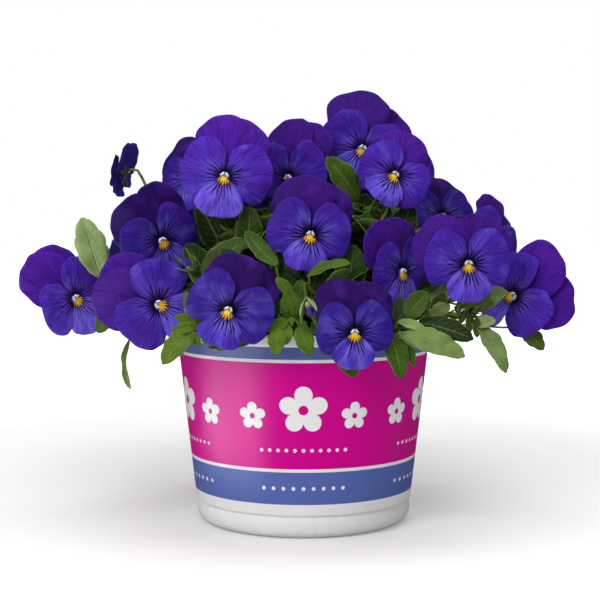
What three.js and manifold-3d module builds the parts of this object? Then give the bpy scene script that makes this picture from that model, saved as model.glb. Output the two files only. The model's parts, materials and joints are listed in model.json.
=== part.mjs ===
// A potted pansy planter: a tapered plastic flower pot full of potting mix, with leafy pansy shoots that
// trail over its lip and carry violet blooms. Lengths are in millimetres and angles in degrees. +Z is up,
// the origin is on the floor under the middle of the pot, and -Y is the front.
import * as THREE from 'three';
import { mergeVertices } from 'three/addons/utils/BufferGeometryUtils.js';
import Module from 'manifold-3d';

const wasm = await Module();
wasm.setup();
const { Manifold, Mesh: SolidMesh } = wasm;

// The pot, from the floor up.
const pot = {
  height: 125,
  lipRadius: 83,
  lipDepth: 7,
  lipStep: 1.6,
  wall: 2,
  wallTopRadius: 81,
  wallFootRadius: 68.6,
  grooveHeight: 14,
  grooveDepth: 1.4,
  grooveHalfWidth: 1.6,
  footRadius: 69,
  footRound: 3,
  floor: 2.6,
  step: 0.8,
  sides: 30,
  drainCount: 5,
  drainRadius: 5,
  drainRing: 42,
  drainSides: 8,
};

// The potting mix, which is a little higher in the middle.
const soil = {
  gap: 0.3,
  edgeHeight: 110,
  shoulderPart: 0.7,
  shoulderHeight: 111.8,
  middleHeight: 113,
  sides: 16,
};

const shoot = { radius: 1.7, sides: 5, steps: 6, rootHeight: 97, holeGap: 0.5, collarHeight: 120 };
const stalk = { radius: 1, sides: 3, steps: 4, hookBack: 17, hookRise: 5 };
const leaf = { thickness: 0.8, clearance: 0.5, fold: 0.22, stalkHalfWidth: 1.1, freeStalk: 0.6 };
const petal = {
  thickness: 0.8,
  baseHalfWidth: 1.5,
  baseAlong: 2,
  widestPart: 0.56,
  roundPoints: 7,
  roundSpan: 116,
};
const throat = { front: 2.2, back: -5.6, frontRadius: 3.4, backRadius: 2.2, sides: 5 };
const calyx = { front: -5.9, back: -9, tipRadius: 11, tipDepth: -7.5, valleyRadius: 3, corners: 10 };

// The five petals of a bloom that faces along its own +Z with +Y up. One upper petal lies over the
// other, the side petals lie over both, and the lower petal lies in front. A petal moves by its fan as
// the angle between the two upper petals, the spread of the bloom, grows.
const petals = [
  { angle: 88, fan: -0.5, length: 34, width: 35, lift: -2.2, slope: -0.2 },
  { angle: 88, fan: 0.5, length: 35, width: 36, lift: -1, slope: -0.15 },
  { angle: 14, fan: 0, length: 25.5, width: 34, lift: 0.2, slope: 0.04 },
  { angle: 166, fan: 0, length: 25.5, width: 34, lift: 0.2, slope: 0.04 },
  { angle: -90, fan: 0, length: 22.5, width: 29, lift: 1.4, slope: 0.12 },
];
const usualSpread = 56;
const variation = { angle: 4, length: 0.05, ruffle: 0.4, bend: 0.004, bendSpread: 0.4 };

// A closed bud is a small spindle: its radius at each part of its length.
const budShape = {
  length: 19,
  seat: 1,
  turn: 18,
  sides: 5,
  profile: [[0, 0], [3.4, 0.2], [4, 0.5], [2.4, 0.85], [0, 1]],
};

// Each shoot stands upright in its hole at root and then follows its way. A shoot carries extra leaves
// of its own besides the ones placed by hand.
const shoots = {
  farLeft: { root: [-42, -12], way: [[-72, -22, 131], [-104, -32, 133]], leaves: 2 },
  leftFront: { root: [-33, -30], way: [[-50, -46, 131], [-68, -56, 132]], leaves: 2 },
  front: { root: [-12, -42], way: [[-18, -62, 131], [-24, -82, 132]], leaves: 1 },
  frontRight: { root: [14, -42], way: [[20, -62, 131], [26, -84, 132]], leaves: 1 },
  rightFront: { root: [34, -28], way: [[50, -44, 131], [68, -54, 132]], leaves: 2 },
  farRight: { root: [43, -8], way: [[74, -16, 131], [108, -26, 133]], leaves: 2 },
  rightBack: { root: [38, 18], way: [[62, 32, 131], [92, 46, 134]], leaves: 3 },
  backRight: { root: [20, 38], way: [[32, 60, 131], [46, 88, 132]], leaves: 3 },
  back: { root: [-6, 43], way: [[-10, 66, 131], [-14, 92, 132]], leaves: 3 },
  backLeft: { root: [-28, 34], way: [[-46, 54, 131], [-66, 76, 133]], leaves: 3 },
  leftBack: { root: [-42, 12], way: [[-70, 22, 131], [-100, 32, 134]], leaves: 3 },
  middleLeft: { root: [-16, -8], way: [[-26, -12, 148], [-34, -12, 176]], leaves: 4 },
  middleRight: { root: [14, 2], way: [[22, 0, 148], [32, -2, 178]], leaves: 4 },
  middleBack: { root: [-2, 20], way: [[0, 30, 148], [4, 40, 176]], leaves: 4 },
};

// A bloom: where its eye is, the way it looks as degrees round from the front towards +X and degrees
// up, how far its face is turned anticlockwise, its size, the shoot it grows on and how far along the
// shoot its stalk leaves. Some have their own spread.
const blooms = [
  { eye: [-142, -33, 144], look: [44, 4], turn: 41, size: 1.02, spread: 28, shoot: 'leftBack', from: 0.78 },
  { eye: [-86, -75, 143], look: [26, 2], turn: 64, size: 1.06, spread: 34, shoot: 'leftFront', from: 0.8 },
  { eye: [-87, -42, 180], look: [30, -7], turn: 26, size: 1.01, shoot: 'leftFront', from: 0.55 },
  { eye: [-48, -45, 219], look: [0, 6], turn: -11, size: 1.12, spread: 28, shoot: 'middleLeft', from: 0.8 },
  { eye: [-9, 2, 219], look: [-36, -2], turn: 2, size: 1.15, spread: 34, shoot: 'middleBack', from: 0.65 },
  { eye: [38, 12, 238], look: [4, 8], turn: -22, size: 1.16, shoot: 'middleRight', from: 0.95 },
  {
    eye: [56, -38, 220], look: [12, 14], turn: -39, size: 0.93, spread: 30,
    shoot: 'middleRight', from: 0.75,
  },
  { eye: [-74, 4, 219], look: [-34, 12], turn: 20, size: 0.95, shoot: 'middleLeft', from: 0.7 },
  { eye: [-119, 8, 221], look: [-108, 0], turn: 0, size: 0.62, shoot: 'leftBack', from: 0.6 },
  { eye: [4, -78, 184], look: [2, 4], turn: -10, size: 1, spread: 38, shoot: 'frontRight', from: 0.55 },
  { eye: [-43, -100, 141], look: [-2, 8], turn: -22, size: 1, spread: 36, shoot: 'front', from: 0.85 },
  { eye: [29, -108, 129], look: [4, 4], turn: 0, size: 0.9, shoot: 'frontRight', from: 0.9 },
  { eye: [58, -70, 162], look: [46, -4], turn: 8, size: 0.98, shoot: 'rightFront', from: 0.6 },
  { eye: [96, -84, 167], look: [8, 4], turn: 4, size: 1.01, spread: 94, shoot: 'farRight', from: 0.53 },
  { eye: [90, 8, 194], look: [22, 20], turn: 0, size: 0.98, shoot: 'rightBack', from: 0.5 },
  { eye: [123, -6, 181], look: [40, 8], turn: -45, size: 0.85, shoot: 'farRight', from: 0.77 },
  {
    eye: [129, -42, 146], look: [-38, 4], turn: -65, size: 1.05, spread: 62,
    shoot: 'farRight', from: 0.93,
  },
  { eye: [-92, 62, 186], look: [-128, 12], turn: 12, size: 1.05, shoot: 'backLeft', from: 0.6 },
  { eye: [-34, 62, 216], look: [-160, 24], turn: -10, size: 1.05, shoot: 'middleBack', from: 0.8 },
  { eye: [32, 64, 210], look: [166, 18], turn: 14, size: 1.05, shoot: 'middleBack', from: 0.95 },
  { eye: [96, 56, 176], look: [124, 8], turn: -16, size: 1.05, shoot: 'rightBack', from: 0.85 },
  { eye: [-58, 104, 148], look: [-152, 2], turn: 8, size: 1, shoot: 'backLeft', from: 0.9 },
  { eye: [8, 112, 150], look: [178, 4], turn: -12, size: 1.05, shoot: 'back', from: 0.9 },
  { eye: [68, 102, 142], look: [148, 0], turn: 10, size: 1, shoot: 'backRight', from: 0.9 },
  { eye: [-134, 34, 150], look: [-104, 4], turn: -10, size: 1, shoot: 'leftBack', from: 0.85 },
  { eye: [148, 4, 147], look: [100, 0], turn: 0, size: 0.68, shoot: 'rightBack', from: 0.93 },
];

// A closed bud: where its calyx is, the way it points, its size and its stalk.
const buds = [
  { at: [-68, -66, 166], look: [-30, 30], size: 0.7, shoot: 'leftFront', from: 0.65 },
  { at: [3, -97, 143], look: [20, -50], size: 0.62, shoot: 'frontRight', from: 0.75 },
  { at: [74, -6, 168], look: [60, 50], size: 0.75, shoot: 'farRight', from: 0.45 },
  { at: [-6, 84, 178], look: [175, 45], size: 0.75, shoot: 'back', from: 0.6 },
];

// The leaves that the front view shows: the shoot, how far along it the leaf's stalk leaves, the base
// and tip of the blade, its width, how far it arches, as a part of its length, and the way it faces.
const placedLeaves = [
  ['farLeft', 0.6, [-127, -26, 157], [-137, -34, 194], 19, 0.05, [0.2, -1, 0.3]],
  ['farLeft', 0.9, [-115, -44, 139], [-125, -52, 124], 12, 0.1, [0, -1, 0.6]],
  ['farLeft', 0.8, [-104, -60, 122], [-103, -70, 92], 12, 0.1, [-1, -0.4, 0.2]],
  ['leftFront', 0.9, [-68, -84, 128], [-88, -96, 110], 14, 0.14, [0.1, -0.8, 0.8]],
  ['leftFront', 0.5, [-65, -64, 160], [-39, -68, 181], 15, 0.06, [-0.2, -1, 0.5]],
  ['front', 0.6, [1, -84, 161], [-27, -88, 181], 12, -0.06, [0.3, -1, 0.7]],
  ['frontRight', 0.63, [2, -86, 160], [27, -94, 168], 11, 0.08, [-0.2, -0.6, 1]],
  ['middleRight', 0.9, [34, -30, 204], [14, -36, 231], 16, 0.08, [0.3, -1, 0.3]],
  ['rightFront', 0.7, [57, -92, 127], [92, -105, 115], 17, 0.06, [0.1, -1, 0.7]],
  ['rightFront', 0.76, [67, -84, 133], [98, -95, 124], 14, 0.08, [-0.1, -1, 0.6]],
  ['rightFront', 0.92, [104, -68, 131], [119, -82, 103], 13, 0.1, [0.3, -1, 0.4]],
  ['farRight', 0.9, [131, -44, 126], [143, -53, 113], 11, 0.1, [0, -1, 0.6]],
  ['farRight', 0.8, [101, -54, 137], [122, -62, 150], 15, 0.1, [0, -0.9, 0.8]],
  ['front', 0.8, [-24, -90, 124], [-55, -88, 118], 13, 0.06, [0, -0.5, 0.9]],
  ['front', 0.9, [-15, -93, 130], [-16, -105, 112], 12, 0.12, [0, -1, 0.5]],
  ['frontRight', 0.78, [-3, -94, 131], [5, -107, 113], 12, 0.12, [0, -1, 0.5]],
  ['frontRight', 0.93, [50, -89, 127], [56, -101, 102], 13, 0.12, [0.2, -1, 0.3]],
  ['front', 0.55, [-30, -66, 146], [-52, -74, 176], 18, 0.12, [0.1, -1, 0.3]],
  ['front', 0.5, [-12, -58, 146], [-14, -70, 180], 18, 0.1, [0, -1, 0.4]],
  ['frontRight', 0.5, [26, -58, 144], [30, -70, 178], 19, 0.12, [0, -1, 0.4]],
  ['rightFront', 0.5, [66, -52, 150], [84, -58, 184], 18, 0.12, [0, -1, 0.4]],
  ['leftFront', 0.6, [-74, -50, 142], [-108, -58, 158], 18, 0.15, [0, -0.8, 0.8]],
  ['farRight', 0.6, [92, -22, 146], [112, -14, 176], 18, 0.12, [0.2, -1, 0.3]],
  ['frontRight', 0.85, [20, -94, 121], [30, -99, 103], 13, 0.1, [0, -1, 0.3]],
  ['front', 0.7, [-11, -88, 134], [-12, -88, 152], 12, 0.05, [0, -1, 0.3]],
  ['leftFront', 0.7, [-58, -84, 131], [-72, -94, 121], 11, 0.1, [0, -1, 0.6]],
  ['rightFront', 0.66, [60, -84, 136], [72, -90, 151], 13, 0.06, [0, -1, 0.5]],
  ['middleLeft', 0.6, [-34, -36, 168], [-33, -42, 201], 17, 0.04, [0, -1, 0.2]],
].map(([shootName, from, base, tip, width, arch, face]) => {
  return { shoot: shootName, from, base, tip, width, arch, face };
});

const rad = THREE.MathUtils.degToRad;
const vector = (numbers) => new THREE.Vector3(...numbers);
const up = new THREE.Vector3(0, 0, 1);

// A repeatable draw between -1 and 1 for a whole number.
function draw(number) {
  const wave = Math.sin(number * 12.9898 + 4.1414) * 43758.5453;
  return 2 * (wave - Math.floor(wave)) - 1;
}

// Closed geometry as a solid: only its positions count, corners that coincide become one, and the
// flat triangles left at a lathe's axis go.
function solidFrom(geometry) {
  const bare = geometry.clone();
  bare.deleteAttribute('normal');
  bare.deleteAttribute('uv');
  const merged = mergeVertices(bare, 1e-3);
  const corners = Array.from(merged.index.array);
  const kept = [];
  for (let i = 0; i < corners.length; i += 3) {
    const [a, b, c] = corners.slice(i, i + 3);
    if (a !== b && b !== c && c !== a) kept.push(a, b, c);
  }
  return new Manifold(new SolidMesh({
    numProp: 3,
    vertProperties: Float32Array.from(merged.attributes.position.array),
    triVerts: Uint32Array.from(kept),
  }));
}

function geometryFrom(solid) {
  const { vertProperties, triVerts } = solid.getMesh();
  const geometry = new THREE.BufferGeometry();
  geometry.setAttribute('position', new THREE.BufferAttribute(Float32Array.from(vertProperties), 3));
  geometry.setIndex(Array.from(triVerts));
  return geometry;
}

function geometryOf(points, triangles) {
  const geometry = new THREE.BufferGeometry().setFromPoints(points);
  geometry.setIndex(triangles.flat());
  return geometry;
}

const fuse = (solids) => solids.reduce((whole, piece) => whole.add(piece));

// A thin blade: its rim and one middle point, each given on the middle surface with the direction of
// its thickness. Both faces fan out from the middle alike, and a wall joins them round the rim.
function blade(rim, middle, thickness) {
  const rows = [...rim, middle];
  const front = rows.map(({ point, normal }) => point.clone().addScaledVector(normal, thickness / 2));
  const back = rows.map(({ point, normal }) => point.clone().addScaledVector(normal, -thickness / 2));
  const count = rim.length;
  const behind = count + 1;
  const triangles = [];
  for (let i = 0; i < count; i += 1) {
    const next = (i + 1) % count;
    triangles.push([i, next, count], [behind + next, behind + i, behind + count]);
    triangles.push([i, behind + i, next], [next, behind + i, behind + next]);
  }
  return geometryOf([...front, ...back], triangles);
}

// A tube of constant radius along a smooth curve through the points.
function tube(points, radius, sides, steps) {
  const curve = new THREE.CatmullRomCurve3(points);
  const corners = Array.from({ length: sides }, (_, i) => {
    const turn = (2 * Math.PI * i) / sides;
    return new THREE.Vector2(radius * Math.cos(turn), radius * Math.sin(turn));
  });
  const section = new THREE.Shape(corners);
  return new THREE.ExtrudeGeometry(section, { steps, extrudePath: curve, curveSegments: 1 });
}

// The pot's wall line, as a radius at a height.
function wallRadius(height) {
  const lipFoot = pot.height - pot.lipDepth;
  const part = (height - pot.grooveHeight) / (lipFoot - pot.grooveHeight);
  return THREE.MathUtils.lerp(pot.wallFootRadius, pot.wallTopRadius, part);
}

function potGeometry() {
  const lipFoot = pot.height - pot.lipDepth;
  const groove = pot.wallFootRadius - pot.grooveDepth;
  const innerFoot = pot.footRadius - pot.footRound - pot.wall;
  const profile = [
    [0, 0],
    [pot.footRadius - pot.footRound, 0],
    [pot.footRadius, pot.footRound],
    [pot.footRadius, pot.grooveHeight - pot.grooveHalfWidth],
    [groove, pot.grooveHeight],
    [pot.wallFootRadius, pot.grooveHeight + pot.grooveHalfWidth],
    [pot.wallTopRadius, lipFoot],
    [pot.wallTopRadius + pot.lipStep, lipFoot + pot.step],
    [pot.lipRadius, pot.height],
    [pot.lipRadius - pot.wall, pot.height],
    [pot.wallTopRadius - pot.wall, lipFoot - pot.wall],
    [innerFoot, pot.floor],
    [0, pot.floor],
  ].map(([radius, height]) => new THREE.Vector2(radius, height));
  const shell = new THREE.LatheGeometry(profile, pot.sides).rotateX(Math.PI / 2);
  let solid = solidFrom(shell);
  for (let i = 0; i < pot.drainCount; i += 1) {
    const { drainRadius, drainSides } = pot;
    const drill = new THREE.CylinderGeometry(drainRadius, drainRadius, 4 * pot.floor, drainSides);
    const turn = (2 * Math.PI * i) / pot.drainCount;
    drill.rotateX(Math.PI / 2).translate(pot.drainRing * Math.cos(turn), pot.drainRing * Math.sin(turn), 0);
    solid = solid.subtract(solidFrom(drill));
  }
  return geometryFrom(solid);
}

function soilGeometry() {
  const innerFoot = pot.footRadius - pot.footRound - pot.wall - soil.gap;
  const innerEdge = wallRadius(soil.edgeHeight) - pot.wall - 3 * soil.gap;
  const profile = [
    [0, pot.floor + soil.gap],
    [innerFoot - soil.gap, pot.floor + soil.gap],
    [innerEdge, soil.edgeHeight],
    [innerEdge * soil.shoulderPart, soil.shoulderHeight],
    [0, soil.middleHeight],
  ].map(([radius, height]) => new THREE.Vector2(radius, height));
  let solid = solidFrom(new THREE.LatheGeometry(profile, soil.sides).rotateX(Math.PI / 2));
  const holeRadius = shoot.radius + shoot.holeGap;
  const holeFoot = shoot.rootHeight - soil.gap;
  const holeDepth = shoot.collarHeight - holeFoot;
  for (const { root } of Object.values(shoots)) {
    const drill = new THREE.CylinderGeometry(holeRadius, holeRadius, holeDepth, shoot.sides);
    drill.rotateX(Math.PI / 2).translate(...root, holeFoot + holeDepth / 2);
    solid = solid.subtract(solidFrom(drill));
  }
  return geometryFrom(solid);
}

// A petal is a wedge from the throat that opens into a round end. It slopes and ruffles, and every
// petal of a bloom bends back towards its edge by the same rule, so the layers stay clear.
function petalGeometry(kind, seed, bend, spread) {
  const length = kind.length * (1 + variation.length * draw(seed));
  const heading = rad(kind.angle + kind.fan * spread + variation.angle * draw(seed + 1));
  const { baseAlong, baseHalfWidth, roundPoints, roundSpan } = petal;
  const centre = petal.widestPart * length;
  const place = (along, aside, ruffle) => {
    const x = along * Math.cos(heading) - aside * Math.sin(heading);
    const y = along * Math.sin(heading) + aside * Math.cos(heading);
    const depth = kind.lift + kind.slope * along - bend * (along ** 2 + aside ** 2) + ruffle;
    return { point: new THREE.Vector3(x, y, depth), normal: up };
  };
  const rim = [place(baseAlong, baseHalfWidth, 0), place(baseAlong, -baseHalfWidth, 0)];
  for (let i = 0; i < roundPoints; i += 1) {
    const turn = rad(THREE.MathUtils.lerp(-roundSpan, roundSpan, i / (roundPoints - 1)));
    const along = centre + (length - centre) * Math.cos(turn);
    const aside = (kind.width / 2) * Math.sin(turn);
    rim.push(place(along, aside, variation.ruffle * draw(seed + 2 + i)));
  }
  return blade(rim, place(centre, 0, 0), petal.thickness);
}

function bloomGeometry(seed, spread = usualSpread) {
  const bend = variation.bend * (1 - variation.bendSpread * (1 - draw(seed)));
  const depth = throat.front - throat.back;
  const core = new THREE.CylinderGeometry(throat.frontRadius, throat.backRadius, depth, throat.sides);
  core.rotateX(Math.PI / 2).translate(0, 0, (throat.front + throat.back) / 2);
  const pieces = [core];
  petals.forEach((kind, i) => pieces.push(petalGeometry(kind, seed + 20 * (i + 1), bend, spread)));
  return geometryFrom(fuse(pieces.map(solidFrom)));
}

// Puts an object with its own +Z looking the given way, turned about that direction.
function face(object, position, [round, rise], turn = 0, size = 1) {
  object.position.set(...position);
  object.rotation.set(rad(90 - rise), 0, rad(round), 'ZXY');
  object.rotateZ(rad(turn));
  object.scale.setScalar(size);
  object.updateMatrixWorld();
  return object;
}

// Five pointed sepals behind a bloom or a bud: a star between a shallow front and a knob at the back.
function calyxGeometry() {
  const count = calyx.corners;
  const star = Array.from({ length: count }, (_, i) => {
    const radius = i % 2 ? calyx.valleyRadius : calyx.tipRadius;
    const turn = Math.PI * (0.5 + (2 * i) / count);
    return new THREE.Vector3(radius * Math.cos(turn), radius * Math.sin(turn), calyx.tipDepth);
  });
  const triangles = star.flatMap((_, i) => {
    const next = (i + 1) % count;
    return [[i, next, count], [next, i, count + 1]];
  });
  const ends = [new THREE.Vector3(0, 0, calyx.front), new THREE.Vector3(0, 0, calyx.back)];
  return geometryOf([...star, ...ends], triangles);
}

// A closed bud stands in its calyx.
function budGeometry() {
  const foot = calyx.front - budShape.seat;
  const profile = budShape.profile.map(
    ([radius, part]) => new THREE.Vector2(radius, foot + part * budShape.length),
  );
  return new THREE.LatheGeometry(profile, budShape.sides).rotateX(Math.PI / 2).rotateZ(rad(budShape.turn));
}

// The curve that a shoot follows, from the foot of its hole.
function shootPoints({ root, way }) {
  const upright = [shoot.rootHeight, soil.middleHeight, shoot.collarHeight];
  return [...upright.map((height) => vector([...root, height])), ...way.map(vector)];
}

// A point on the axis of a shoot's tube, which runs straight from each of its rings to the next.
function pointAlong(points, part) {
  const curve = new THREE.CatmullRomCurve3(points);
  const before = Math.min(Math.floor(part * shoot.steps), shoot.steps - 1);
  const ring = (index) => curve.getPointAt(index / shoot.steps);
  return ring(before).lerp(ring(before + 1), part * shoot.steps - before);
}

// A flower stalk rises from its shoot, hooks over behind the flower and ends in the calyx.
function stalkGeometry(start, flower) {
  const hook = flower.localToWorld(new THREE.Vector3(0, 0, -stalk.hookBack));
  hook.z += stalk.hookRise;
  const knob = flower.localToWorld(new THREE.Vector3(0, 0, (calyx.front + calyx.back) / 2));
  return tube([start, start.clone().lerp(hook, 0.5), hook, knob], stalk.radius, stalk.sides, stalk.steps);
}

// A leaf on its middle surface: a part of the way along it and a distance aside of the midrib. The
// blade faces its own way, arches between base and tip, and has its two halves lifted into a fold.
function leafSurface({ base, tip, arch, face: facing }) {
  const chord = tip.clone().sub(base);
  const length = chord.length();
  const along = chord.clone().normalize();
  const across = new THREE.Vector3().crossVectors(along, facing).normalize();
  const outward = new THREE.Vector3().crossVectors(across, along);
  return (part, aside) => {
    const rise = 4 * arch * length * part * (1 - part) + leaf.fold * Math.abs(aside);
    const point = base.clone().addScaledVector(chord, part).addScaledVector(across, aside);
    const normal = outward.clone().addScaledVector(along, -4 * arch * (1 - 2 * part)).normalize();
    return { point: point.addScaledVector(outward, rise), normal };
  };
}

// Half the width of a leaf of width 1. The blade is widest past its middle and blunt at the tip.
const leafHalfWidth = (part) => 0.5 * Math.sin(Math.PI * part ** 0.85) ** 0.75;

// Blunt forward teeth: where each corner of an edge lies along the leaf, and how far it stands out.
const leafTeeth = [[0.12, 0.9], [0.42, 1.1], [0.52, 0.88], [0.8, 1.15]];

// A leaf with its flat stalk, which runs straight from the shoot into the midrib.
function leafGeometry(place, thickness) {
  const at = leafSurface(place);
  const edge = (side) => leafTeeth.map(([part, out]) => {
    return at(part, side * place.width * leafHalfWidth(part) * out);
  });
  const stalkEnd = (side) => {
    const { point, normal } = at(0, side * leaf.stalkHalfWidth);
    return { point: point.add(place.start).sub(place.base), normal };
  };
  const rim = [stalkEnd(-1), stalkEnd(1), ...edge(1), at(1, 0), ...edge(-1).reverse()];
  return blade(rim, at(0.5, 0), thickness);
}

// The extra leaves: a middle value and how far a leaf may differ from it, and each leaf's width as a
// part of its length.
const ruled = {
  aside: [62, 26],
  rise: [34, 24],
  length: [40, 6],
  stalk: [12, 3],
  arch: [0.1, 0.04],
  lean: [0, 0.6],
  width: 0.46,
};

// A leaf placed by rule: they leave the upper half of the shoot on alternate sides and arch over.
function ruledLeaf(points, index, count, seed) {
  const pick = ([middle, spread], step) => middle + spread * draw(seed + step);
  const from = 0.5 + (0.5 * (index + 0.5)) / count;
  const start = pointAlong(points, from);
  const ahead = pointAlong(points, 1).sub(pointAlong(points, 0.5));
  const side = index % 2 ? 1 : -1;
  const round = Math.atan2(ahead.y, ahead.x) + side * rad(pick(ruled.aside, 0));
  const rise = rad(pick(ruled.rise, 1));
  const heading = new THREE.Vector3(Math.cos(round), Math.sin(round), Math.tan(rise)).normalize();
  const length = pick(ruled.length, 2);
  const base = start.clone().addScaledVector(heading, pick(ruled.stalk, 3));
  const tip = base.clone().addScaledVector(heading, length);
  const lean = pick(ruled.lean, 5);
  const facing = new THREE.Vector3(-lean * Math.sin(round), lean * Math.cos(round), 1);
  return { start, base, tip, width: ruled.width * length, arch: pick(ruled.arch, 4), face: facing };
}

// The ways that a leaf may swing and rise about the start of its stalk until it is clear, in order.
const swings = [0, 9, -9, 18, -18, 30, -30, 44, -44];
const lifts = [0, 10, -8, 20];

function swung(place, swing, lift) {
  const move = (point) => {
    const arm = point.clone().sub(place.start);
    const hinge = new THREE.Vector3().crossVectors(arm, up).normalize();
    return arm.applyAxisAngle(hinge, rad(lift)).applyAxisAngle(up, rad(swing)).add(place.start);
  };
  return { ...place, base: move(place.base), tip: move(place.tip) };
}

// What is already in the way of a new leaf, each solid with the box round it.
const obstacles = [];

function addObstacle(geometry) {
  geometry.computeBoundingBox();
  obstacles.push({ box: geometry.boundingBox.clone(), solid: solidFrom(geometry) });
}

function isClear(geometry) {
  geometry.computeBoundingBox();
  const near = obstacles.filter(({ box }) => box.intersectsBox(geometry.boundingBox));
  const solid = solidFrom(geometry);
  return near.every((other) => solid.intersect(other.solid).isEmpty());
}

// The leaf without the first stretch of its stalk, which may touch the shoot that it grows on.
const clearOfShoot = (place) => ({ ...place, start: place.base.clone().lerp(place.start, leaf.freeStalk) });

// The first swing and lift at which the leaf clears everything, or nothing where none does.
function clearPlace(place) {
  const fat = leaf.thickness + 2 * leaf.clearance;
  for (const lift of lifts) {
    for (const swing of swings) {
      const tried = swung(place, swing, lift);
      if (isClear(leafGeometry(clearOfShoot(tried), fat))) return tried;
    }
  }
  return null;
}

const materials = {
  pot: new THREE.MeshStandardMaterial({ color: 0xf2f2f0, roughness: 0.35, metalness: 0 }),
  soil: new THREE.MeshStandardMaterial({ color: 0x3a2a20, roughness: 0.95, metalness: 0 }),
  leaf: new THREE.MeshStandardMaterial({ color: 0x557a2c, roughness: 0.6, metalness: 0 }),
  petal: new THREE.MeshStandardMaterial({ color: 0x4b3db4, roughness: 0.7, metalness: 0 }),
};

function named(name, geometry, material) {
  const mesh = new THREE.Mesh(geometry, material);
  mesh.name = name;
  return mesh;
}

const planter = new THREE.Group();
const potMesh = named('pot', potGeometry(), materials.pot);
const soilMesh = named('soil', soilGeometry(), materials.soil);
planter.add(potMesh, soilMesh);
addObstacle(potMesh.geometry);
addObstacle(soilMesh.geometry);

const flowers = new THREE.Group();
planter.add(flowers);
blooms.forEach((bloom, i) => {
  const mesh = named(`bloom_${i + 1}`, bloomGeometry(1000 * (i + 1), bloom.spread), materials.petal);
  flowers.add(face(mesh, bloom.eye, bloom.look, bloom.turn, bloom.size));
  addObstacle(mesh.geometry.clone().applyMatrix4(mesh.matrixWorld));
});

// The bare shoots first, with their flower stalks, calyces and buds, so that every leaf can clear them.
const pieces = {};
for (const [name, row] of Object.entries(shoots)) {
  const points = shootPoints(row);
  pieces[name] = [tube(points, shoot.radius, shoot.sides, shoot.steps)];
  blooms.forEach((bloom, i) => {
    if (bloom.shoot !== name) return;
    const mesh = flowers.children[i];
    pieces[name].push(calyxGeometry().applyMatrix4(mesh.matrixWorld));
    pieces[name].push(stalkGeometry(pointAlong(points, bloom.from), mesh));
  });
  for (const bud of buds.filter((row) => row.shoot === name)) {
    const frame = face(new THREE.Object3D(), bud.at, bud.look, 0, bud.size);
    pieces[name].push(calyxGeometry().applyMatrix4(frame.matrixWorld));
    pieces[name].push(budGeometry().applyMatrix4(frame.matrixWorld));
    pieces[name].push(stalkGeometry(pointAlong(points, bud.from), frame));
  }
  pieces[name].forEach(addObstacle);
}

function growLeaf(name, place) {
  const found = clearPlace(place);
  if (!found) return;
  const geometry = leafGeometry(found, leaf.thickness);
  pieces[name].push(geometry);
  addObstacle(geometry);
}

for (const row of placedLeaves) {
  const start = pointAlong(shootPoints(shoots[row.shoot]), row.from);
  const [base, tip, facing] = [row.base, row.tip, row.face].map(vector);
  growLeaf(row.shoot, { ...row, start, base, tip, face: facing });
}
Object.entries(shoots).forEach(([name, row], shootIndex) => {
  for (let i = 0; i < row.leaves; i += 1) {
    growLeaf(name, ruledLeaf(shootPoints(row), i, row.leaves, 500 * (shootIndex + 1) + 10 * i));
  }
});

const greenery = new THREE.Group();
planter.add(greenery);
Object.keys(shoots).forEach((name, i) => {
  const whole = fuse(pieces[name].map(solidFrom));
  greenery.add(named(`shoot_${i + 1}`, geometryFrom(whole), materials.leaf));
});

export default planter;
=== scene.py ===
import json

import bpy
import numpy as np
from mathutils import Matrix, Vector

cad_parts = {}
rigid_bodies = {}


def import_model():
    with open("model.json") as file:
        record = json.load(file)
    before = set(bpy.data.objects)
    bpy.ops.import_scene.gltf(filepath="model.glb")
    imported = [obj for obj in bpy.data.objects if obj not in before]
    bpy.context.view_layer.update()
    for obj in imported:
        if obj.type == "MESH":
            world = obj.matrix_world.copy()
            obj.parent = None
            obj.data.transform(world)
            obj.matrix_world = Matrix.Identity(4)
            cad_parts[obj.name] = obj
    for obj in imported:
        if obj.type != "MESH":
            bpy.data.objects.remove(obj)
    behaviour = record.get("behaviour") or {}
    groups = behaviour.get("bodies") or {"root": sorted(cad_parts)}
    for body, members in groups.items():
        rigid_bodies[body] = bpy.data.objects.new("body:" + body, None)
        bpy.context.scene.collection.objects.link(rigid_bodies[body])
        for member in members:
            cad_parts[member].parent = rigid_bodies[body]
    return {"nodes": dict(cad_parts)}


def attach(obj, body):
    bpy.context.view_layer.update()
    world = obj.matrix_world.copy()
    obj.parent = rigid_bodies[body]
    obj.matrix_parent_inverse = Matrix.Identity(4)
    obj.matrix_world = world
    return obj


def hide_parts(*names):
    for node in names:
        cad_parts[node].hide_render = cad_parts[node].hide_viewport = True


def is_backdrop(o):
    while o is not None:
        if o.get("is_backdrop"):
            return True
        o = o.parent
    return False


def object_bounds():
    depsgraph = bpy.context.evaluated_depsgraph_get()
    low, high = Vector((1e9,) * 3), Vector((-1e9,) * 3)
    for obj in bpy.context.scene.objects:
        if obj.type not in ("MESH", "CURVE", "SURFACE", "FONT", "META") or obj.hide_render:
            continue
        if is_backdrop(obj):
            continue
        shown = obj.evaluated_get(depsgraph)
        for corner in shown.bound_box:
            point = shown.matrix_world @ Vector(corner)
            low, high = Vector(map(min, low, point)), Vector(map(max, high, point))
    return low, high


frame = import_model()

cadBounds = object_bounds()
print("frame loaded with", len(frame["nodes"]), "nodes")

up = np.array([0.0, 0.0, 1.0])
fullTurn = 2 * np.pi


# a repeatable draw between -1 and 1: twice the fraction of a large sine, less one
def draw(number):
    wave = np.sin(np.asarray(number, float) * 12.9898 + 4.1414) * 43758.5453
    return 2 * (wave - np.floor(wave)) - 1


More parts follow.
